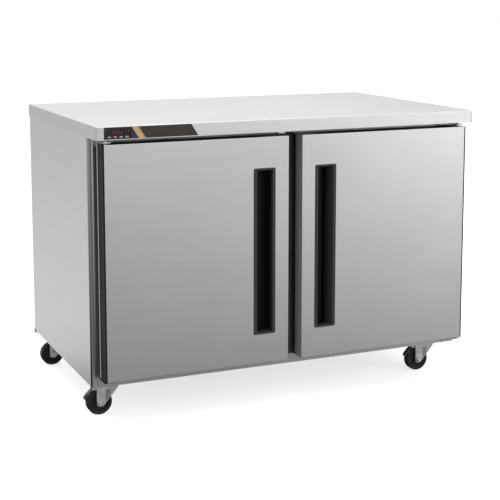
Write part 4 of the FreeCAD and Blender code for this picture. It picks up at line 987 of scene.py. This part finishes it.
def make_evaporator():
    """Guard, coil bends, cover screws and air probe of the evaporator."""
    a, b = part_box("evaporator_cover")
    hole = joint_place("evaporator_fan_spin")
    make_fan_guard(Vector((hole.x, a.y - 1.0 * MM, hole.z)), 71.0 * MM)
    coil_bends("evaporator_bends", "evaporator_coil")
    heads = Piece()
    for x in (a.x + 12 * MM, (a.x + hole.x) / 2, (b.x + hole.x) / 2, b.x - 12 * MM):
        for z in (a.z + 10 * MM, b.z - 10 * MM):
            pan_head(heads, (x, a.y, z), (0, -1, 0), 3.6 * MM)
    heads.done("evaporator_cover_screws", "cabinet", "bolt_steel", "zinc")
    make_probe(a)


def pan_head(piece, origin, axis, radius):
    """A domed screw head with a raised rim round its cross recess."""
    r = radius
    piece.turned(
        origin, axis,
        [
            (0, r), (r * 0.12, r), (r * 0.34, r * 0.88), (r * 0.50, r * 0.62),
            (r * 0.54, r * 0.42), (r * 0.40, r * 0.34), (r * 0.30, r * 0.12),
        ],
        20,
    )
    axis = Vector(axis).normalized()
    side = axis.orthogonal().normalized()
    for direction in (side, axis.cross(side)):
        across = axis.cross(direction)
        base = Vector(origin) + axis * r * 0.44
        half, thin = r * 0.52, r * 0.10
        piece.prism(
            [base + direction * half + across * thin, base - direction * half + across * thin,
             base - direction * half - across * thin, base + direction * half - across * thin],
            axis, r * 0.07,
        )


def make_probe(cover):
    """Air probe with its clip and lead, under the evaporator cover that has this low corner."""
    x, y, z = cover.x + 70 * MM, cover.y + 30 * MM, cover.z
    probe = Piece()
    probe.turned(
        (x, y, z - 9 * MM), (1, 0, 0),
        [(0, 1.0 * MM), (1.5 * MM, 2.8 * MM), (3 * MM, 3.0 * MM), (34 * MM, 3.0 * MM),
         (38 * MM, 1.6 * MM)],
        20,
    )
    probe.done("air_probe", "cabinet", "bolt_steel", "zinc")
    clip = Piece()
    clip.ring((x + 16 * MM, y, z - 9 * MM), (1, 0, 0), 4.2 * MM, 1.2 * MM, 24, 8)
    clip.block((x + 13.5 * MM, y - 3 * MM, z - 5 * MM), (x + 18.5 * MM, y + 3 * MM, z), 0.6 * MM)
    clip.done("air_probe_clip", "cabinet", "white_plastic", "white_plastic")
    lead = Piece()
    route = ((37, 0, -9), (48, 0, -10), (60, 3, -8), (68, 8, -3), (70, 12, 4))
    lead.tube([(x + dx * MM, y + dy * MM, z + dz * MM) for dx, dy, dz in route], 1.3 * MM, 8)
    lead.done("air_probe_lead", "cabinet", "grey_plastic", "pan_plastic")


def make_unit():
    """Details of the condensing unit behind the rear grille."""
    a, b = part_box("compressor")
    middle = Vector((-0.380, 0.252, 0))      # axis of the compressor's shell
    foot = a.z + 4 * MM
    seam = Piece()
    seam.ring((middle.x, middle.y, foot + 78 * MM), (0, 0, 1), 82.4 * MM, 3.0 * MM, 64, 10)
    seam.done("compressor_seam", "cabinet", "black_paint", "compressor_paint")

    stubs = Piece()
    for dx, dy, tall in ((-36, 10, 26), (-20, -34, 34), (14, 30, 22)):
        stubs.turned(
            (middle.x + dx * MM, middle.y + dy * MM, b.z - 8 * MM), (0, 0, 1),
            [(0, 4.6 * MM), (12 * MM, 4.6 * MM), (13 * MM, 3.8 * MM), (tall * MM, 3.8 * MM)], 20,
        )
    stubs.done("compressor_stubs", "cabinet", "copper", "copper")

    mounts = Piece()
    bolts = Piece()
    for dx in (-84, 84):
        for dy in (-76, 76):
            spot = (middle.x + dx * MM, middle.y + dy * MM, foot)
            mounts.turned(
                spot, (0, 0, 1),
                [(0, 10 * MM), (3 * MM, 10.5 * MM), (6 * MM, 8.5 * MM), (9 * MM, 9.5 * MM),
                 (11 * MM, 7 * MM)],
                24,
            )
            bolts.turned(
                (spot[0], spot[1], foot + 11 * MM), (0, 0, 1),
                [(0, 7.5 * MM), (1 * MM, 7.5 * MM), (1 * MM, 5 * MM), (5 * MM, 5 * MM),
                 (5.6 * MM, 4 * MM)],
                6,
            )
    mounts.done("compressor_grommets", "cabinet", "gasket", "gasket")
    bolts.done("compressor_bolts", "cabinet", "bolt_steel", "zinc")

    coil_bends("condenser_bends", "condenser_coil")
    make_shroud()
    make_wires(middle, foot)


def make_shroud():
    """Fan shroud in front of the condenser: a plate with a round mouth and a rolled lip."""
    a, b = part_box("condenser_coil")
    fan = joint_place("condenser_fan_spin")
    y = a.y - 2.5 * MM
    mouth, sheet = 106 * MM, 1.2 * MM
    reach_x, reach_z = (b.x - a.x) / 2 - 12 * MM, (b.z - a.z) / 2
    count = 64
    mouth_line, edge_line = [], []
    for i in range(count):
        angle = 2 * math.pi * (i + 0.5) / count
        c, s = math.cos(angle), math.sin(angle)
        scale = min(reach_x / abs(c), reach_z / abs(s))
        mouth_line.append((fan.x + c * mouth, fan.z + s * mouth))
        edge_line.append(((a.x + b.x) / 2 + c * scale, (a.z + b.z) / 2 + s * scale))
    shroud = Piece()
    lines = ((mouth_line, 0), (edge_line, 0), (edge_line, sheet), (mouth_line, sheet))
    shroud.bridge(
        [shroud.loop((x, y + depth, z) for x, z in line) for line, depth in lines], around=True
    )
    shroud.ring((fan.x, y, fan.z), (0, 1, 0), mouth, 2.2 * MM, 64, 10)
    shroud.done("condenser_shroud", "cabinet", "galvanised", "galvanised")


def make_wires(middle, foot):
    """Leads from the compressor's terminal cover and the fan motor to the inlet."""
    start = Vector((middle.x + 108 * MM, middle.y, foot + 60 * MM))
    gland = centre("cord_gland")
    for index, look in enumerate(("red_wire", "blue_wire", "black_plastic")):
        shift = (index - 1) * 5 * MM
        points = []
        knots = [
            start + Vector((0, shift, 0)), start + Vector((14 * MM, shift, -20 * MM)),
            start + Vector((10 * MM, shift + 60 * MM, -48 * MM)),
            Vector((middle.x, middle.y + 104 * MM, foot + 8 * MM + shift)),
            Vector((gland.x + 70 * MM, gland.y - 12 * MM, gland.z - 20 * MM + shift)),
            Vector((gland.x, gland.y - 22 * MM, gland.z + shift * 0.5)),
        ]
        for before, here, after, beyond in zip(
            [knots[0]] + knots[:-2], knots[:-1], knots[1:], knots[2:] + [knots[-1]]
        ):
            for k in range(8):
                t = k / 8
                points.append(0.5 * (
                    2 * here + (after - before) * t
                    + (2 * before - 5 * here + 4 * after - beyond) * t * t
                    + (3 * here - before - 3 * after + beyond) * t ** 3
                ))
        points.append(knots[-1])
        wire = Piece().tube(points, 1.5 * MM, 8)
        wire.done("unit_wire_%d" % index, "cabinet", look, "black_plastic")


# ---------------- back


def make_louvres():
    """Hooded lips over the grille's slots, as the press leaves them."""
    back = high("rear_grille").y
    lowest, pitch, length = 132 * MM, 18 * MM, 218 * MM
    hood = [(0, 7.6), (1.6, 7.4), (2.6, 5.6), (2.6, 4.6), (1.6, 6.2), (0, 6.4)]
    lips = Piece()
    for column in (-379 * MM, -109 * MM, 161 * MM):
        for row in range(12):
            z = lowest + row * pitch
            lips.prism([(column, back + p * MM, z + q * MM) for p, q in hood], (1, 0, 0), length)
    lips.done("rear_louvres", "cabinet", "galvanised", "galvanised")


def make_gland_nut():
    """Six-sided nut of the power inlet gland."""
    gland = centre("cord_gland")
    nut = Piece()
    nut.turned(
        (gland.x, high("cord_gland").y - 2.2 * MM, gland.z), (0, 1, 0),
        [(0, 17 * MM), (1.6 * MM, 17 * MM), (2.5 * MM, 15.5 * MM), (2.5 * MM, 6 * MM),
         (0.6 * MM, 5.4 * MM)],
        6,
    )
    nut.done("gland_nut", "cabinet", "black_plastic", "black_plastic")


# ---------------- stage, camera and light


def make_stage():
    """Pale floor out to the horizon. Close to the front it is darkened as painted shadow, for every
    ray but the camera's, so the metal mirrors it darker.
    """
    data = bpy.data.meshes.new("studio_floor")
    reach = 40.0
    corners = [(-reach, -reach, 0), (reach, -reach, 0), (reach, reach, 0), (-reach, reach, 0)]
    data.from_pydata(corners, [], [(0, 1, 2, 3)])
    floor = bpy.data.objects.new("studio_floor", data)
    bpy.context.scene.collection.objects.link(floor)
    shader = Shader("floor_paint", roughness=0.7)
    seen = shader.blend_colors(
        shader.spread(shader.noise(1.3, detail=2.0), 0, 1), (0.90, 0.90, 0.90), (0.93, 0.93, 0.93)
    )
    towards = shader.add("ShaderNodeVectorMath", operation="DOT_PRODUCT")
    shader.link(shader.place, towards.inputs[0])
    towards.inputs[1].default_value = (0.64, -0.77, 0)
    # Painted shadow: the floor's tone rises from dark close in front to light far away.
    front = shader.spread(towards.outputs["Value"], FLOOR_NEAR_SHADOW, FLOOR_FAR, 0.6, 6.5)
    behind = shader.spread(shader.along("Y"), 0.0, 1.0, -0.3, 0.4)
    back_tone = shader.add("ShaderNodeMix", data_type="FLOAT")
    shader.link(behind, back_tone.inputs["Factor"])
    shader.link(front, back_tone.inputs["A"])
    back_tone.inputs["B"].default_value = FLOOR_BEHIND
    path = shader.add("ShaderNodeLightPath")
    mix = shader.add("ShaderNodeMix", data_type="RGBA")
    shader.link(path.outputs["Is Camera Ray"], mix.inputs["Factor"])
    shader.link(back_tone.outputs["Result"], mix.inputs["A"])
    shader.link(seen, mix.inputs["B"])
    shader.link(mix.outputs["Result"], shader.bsdf.inputs["Base Color"])
    lift = shader.add("ShaderNodeMath", operation="MULTIPLY")
    shader.link(path.outputs["Is Camera Ray"], lift.inputs[0])
    lift.inputs[1].default_value = FLOOR_GLOW
    shader.bsdf.inputs["Emission Color"].default_value = (1, 1, 1, 1)
    shader.link(lift.outputs[0], shader.bsdf.inputs["Emission Strength"])
    data.materials.append(shader.material)


def area_light(name, place, target, width, tall, power):
    data = bpy.data.lights.new(name, "AREA")
    data.shape = "RECTANGLE"
    data.size = width
    data.size_y = tall
    data.energy = power
    lamp = bpy.data.objects.new(name, data)
    lamp.location = place
    lamp.rotation_euler = (Vector(target) - Vector(place)).to_track_quat("-Z", "Y").to_euler()
    bpy.context.scene.collection.objects.link(lamp)


def make_lights():
    """One soft light above, two in front that the doors mirror, and the world."""
    area_light("overhead", (0.0, 0.4, 4.2), (0, 0, 0), 4.5, 4.0, 85)
    area_light("front_right", (4.0, -4.4, 1.9), (0.3, -0.3, 0.5), 2.6, 3.0, 50)
    area_light("front_middle", (1.4, -5.4, 2.7), (0, -0.4, 0.6), 3.2, 2.2, 40)
    make_world()


def make_world():
    """White where the camera sees it; brighter behind than in front for everything else."""
    world = bpy.data.worlds.new("studio")
    world.use_nodes = True
    tree = world.node_tree
    background = tree.nodes["Background"]
    place = tree.nodes.new("ShaderNodeTexCoord")
    split = tree.nodes.new("ShaderNodeSeparateXYZ")
    tree.links.new(place.outputs["Generated"], split.inputs["Vector"])
    depth = tree.nodes.new("ShaderNodeMapRange")
    depth.interpolation_type = "SMOOTHSTEP"
    depth.inputs["From Min"].default_value = -0.3
    depth.inputs["From Max"].default_value = 0.7
    depth.inputs["To Min"].default_value = SKY_IN_FRONT
    depth.inputs["To Max"].default_value = SKY_BEHIND
    tree.links.new(split.outputs["Y"], depth.inputs["Value"])
    path = tree.nodes.new("ShaderNodeLightPath")
    choose = tree.nodes.new("ShaderNodeMix")
    choose.data_type = "FLOAT"
    tree.links.new(path.outputs["Is Camera Ray"], choose.inputs["Factor"])
    tree.links.new(depth.outputs["Result"], choose.inputs["A"])
    choose.inputs["B"].default_value = 1.0
    tree.links.new(choose.outputs["Result"], background.inputs["Strength"])
    background.inputs["Color"].default_value = (1, 1, 1, 1)
    bpy.context.scene.world = world


def make_camera():
    """A person's view from the left of the front, with the worktop just below the eyes."""
    left_front_top = Vector((low("worktop").x, low("worktop").y, high("worktop").z))
    offset = Vector((-0.9649, -3.2409, 0.3707))      # from that corner of the worktop
    yaw, pitch = math.radians(23.74), math.radians(7.82)
    focal = 2.476      # focal length over the picture's width
    data = bpy.data.cameras.new("studio_camera")
    data.sensor_width = 36.0
    data.lens = focal * data.sensor_width
    data.shift_y = -0.18
    camera = bpy.data.objects.new("studio_camera", data)
    camera.location = left_front_top + offset
    camera.rotation_euler = (math.radians(90) - pitch, 0, -yaw)
    bpy.context.scene.collection.objects.link(camera)
    bpy.context.scene.camera = camera


def main():
    """Stage first, then the finish of every node, then the pieces that the CAD leaves out."""
    make_camera()
    make_stage()
    make_lights()
    dress_nodes()
    make_panel()
    make_casters()
    for side, sign in SIDES.items():
        make_gasket(side)
        make_door_inside(side)
        make_latch_trim(side, sign)
        make_hinge_trim(side, sign)
    make_apron_joints()
    for side, sign in SIDES.items():
        make_side_seam(side, sign)
        make_frame_edge(side, sign)
        make_corner_cap(side, sign)
    make_evaporator()
    make_unit()
    make_louvres()
    make_gland_nut()
    bpy.context.scene.view_settings.view_transform = "Standard"


main()
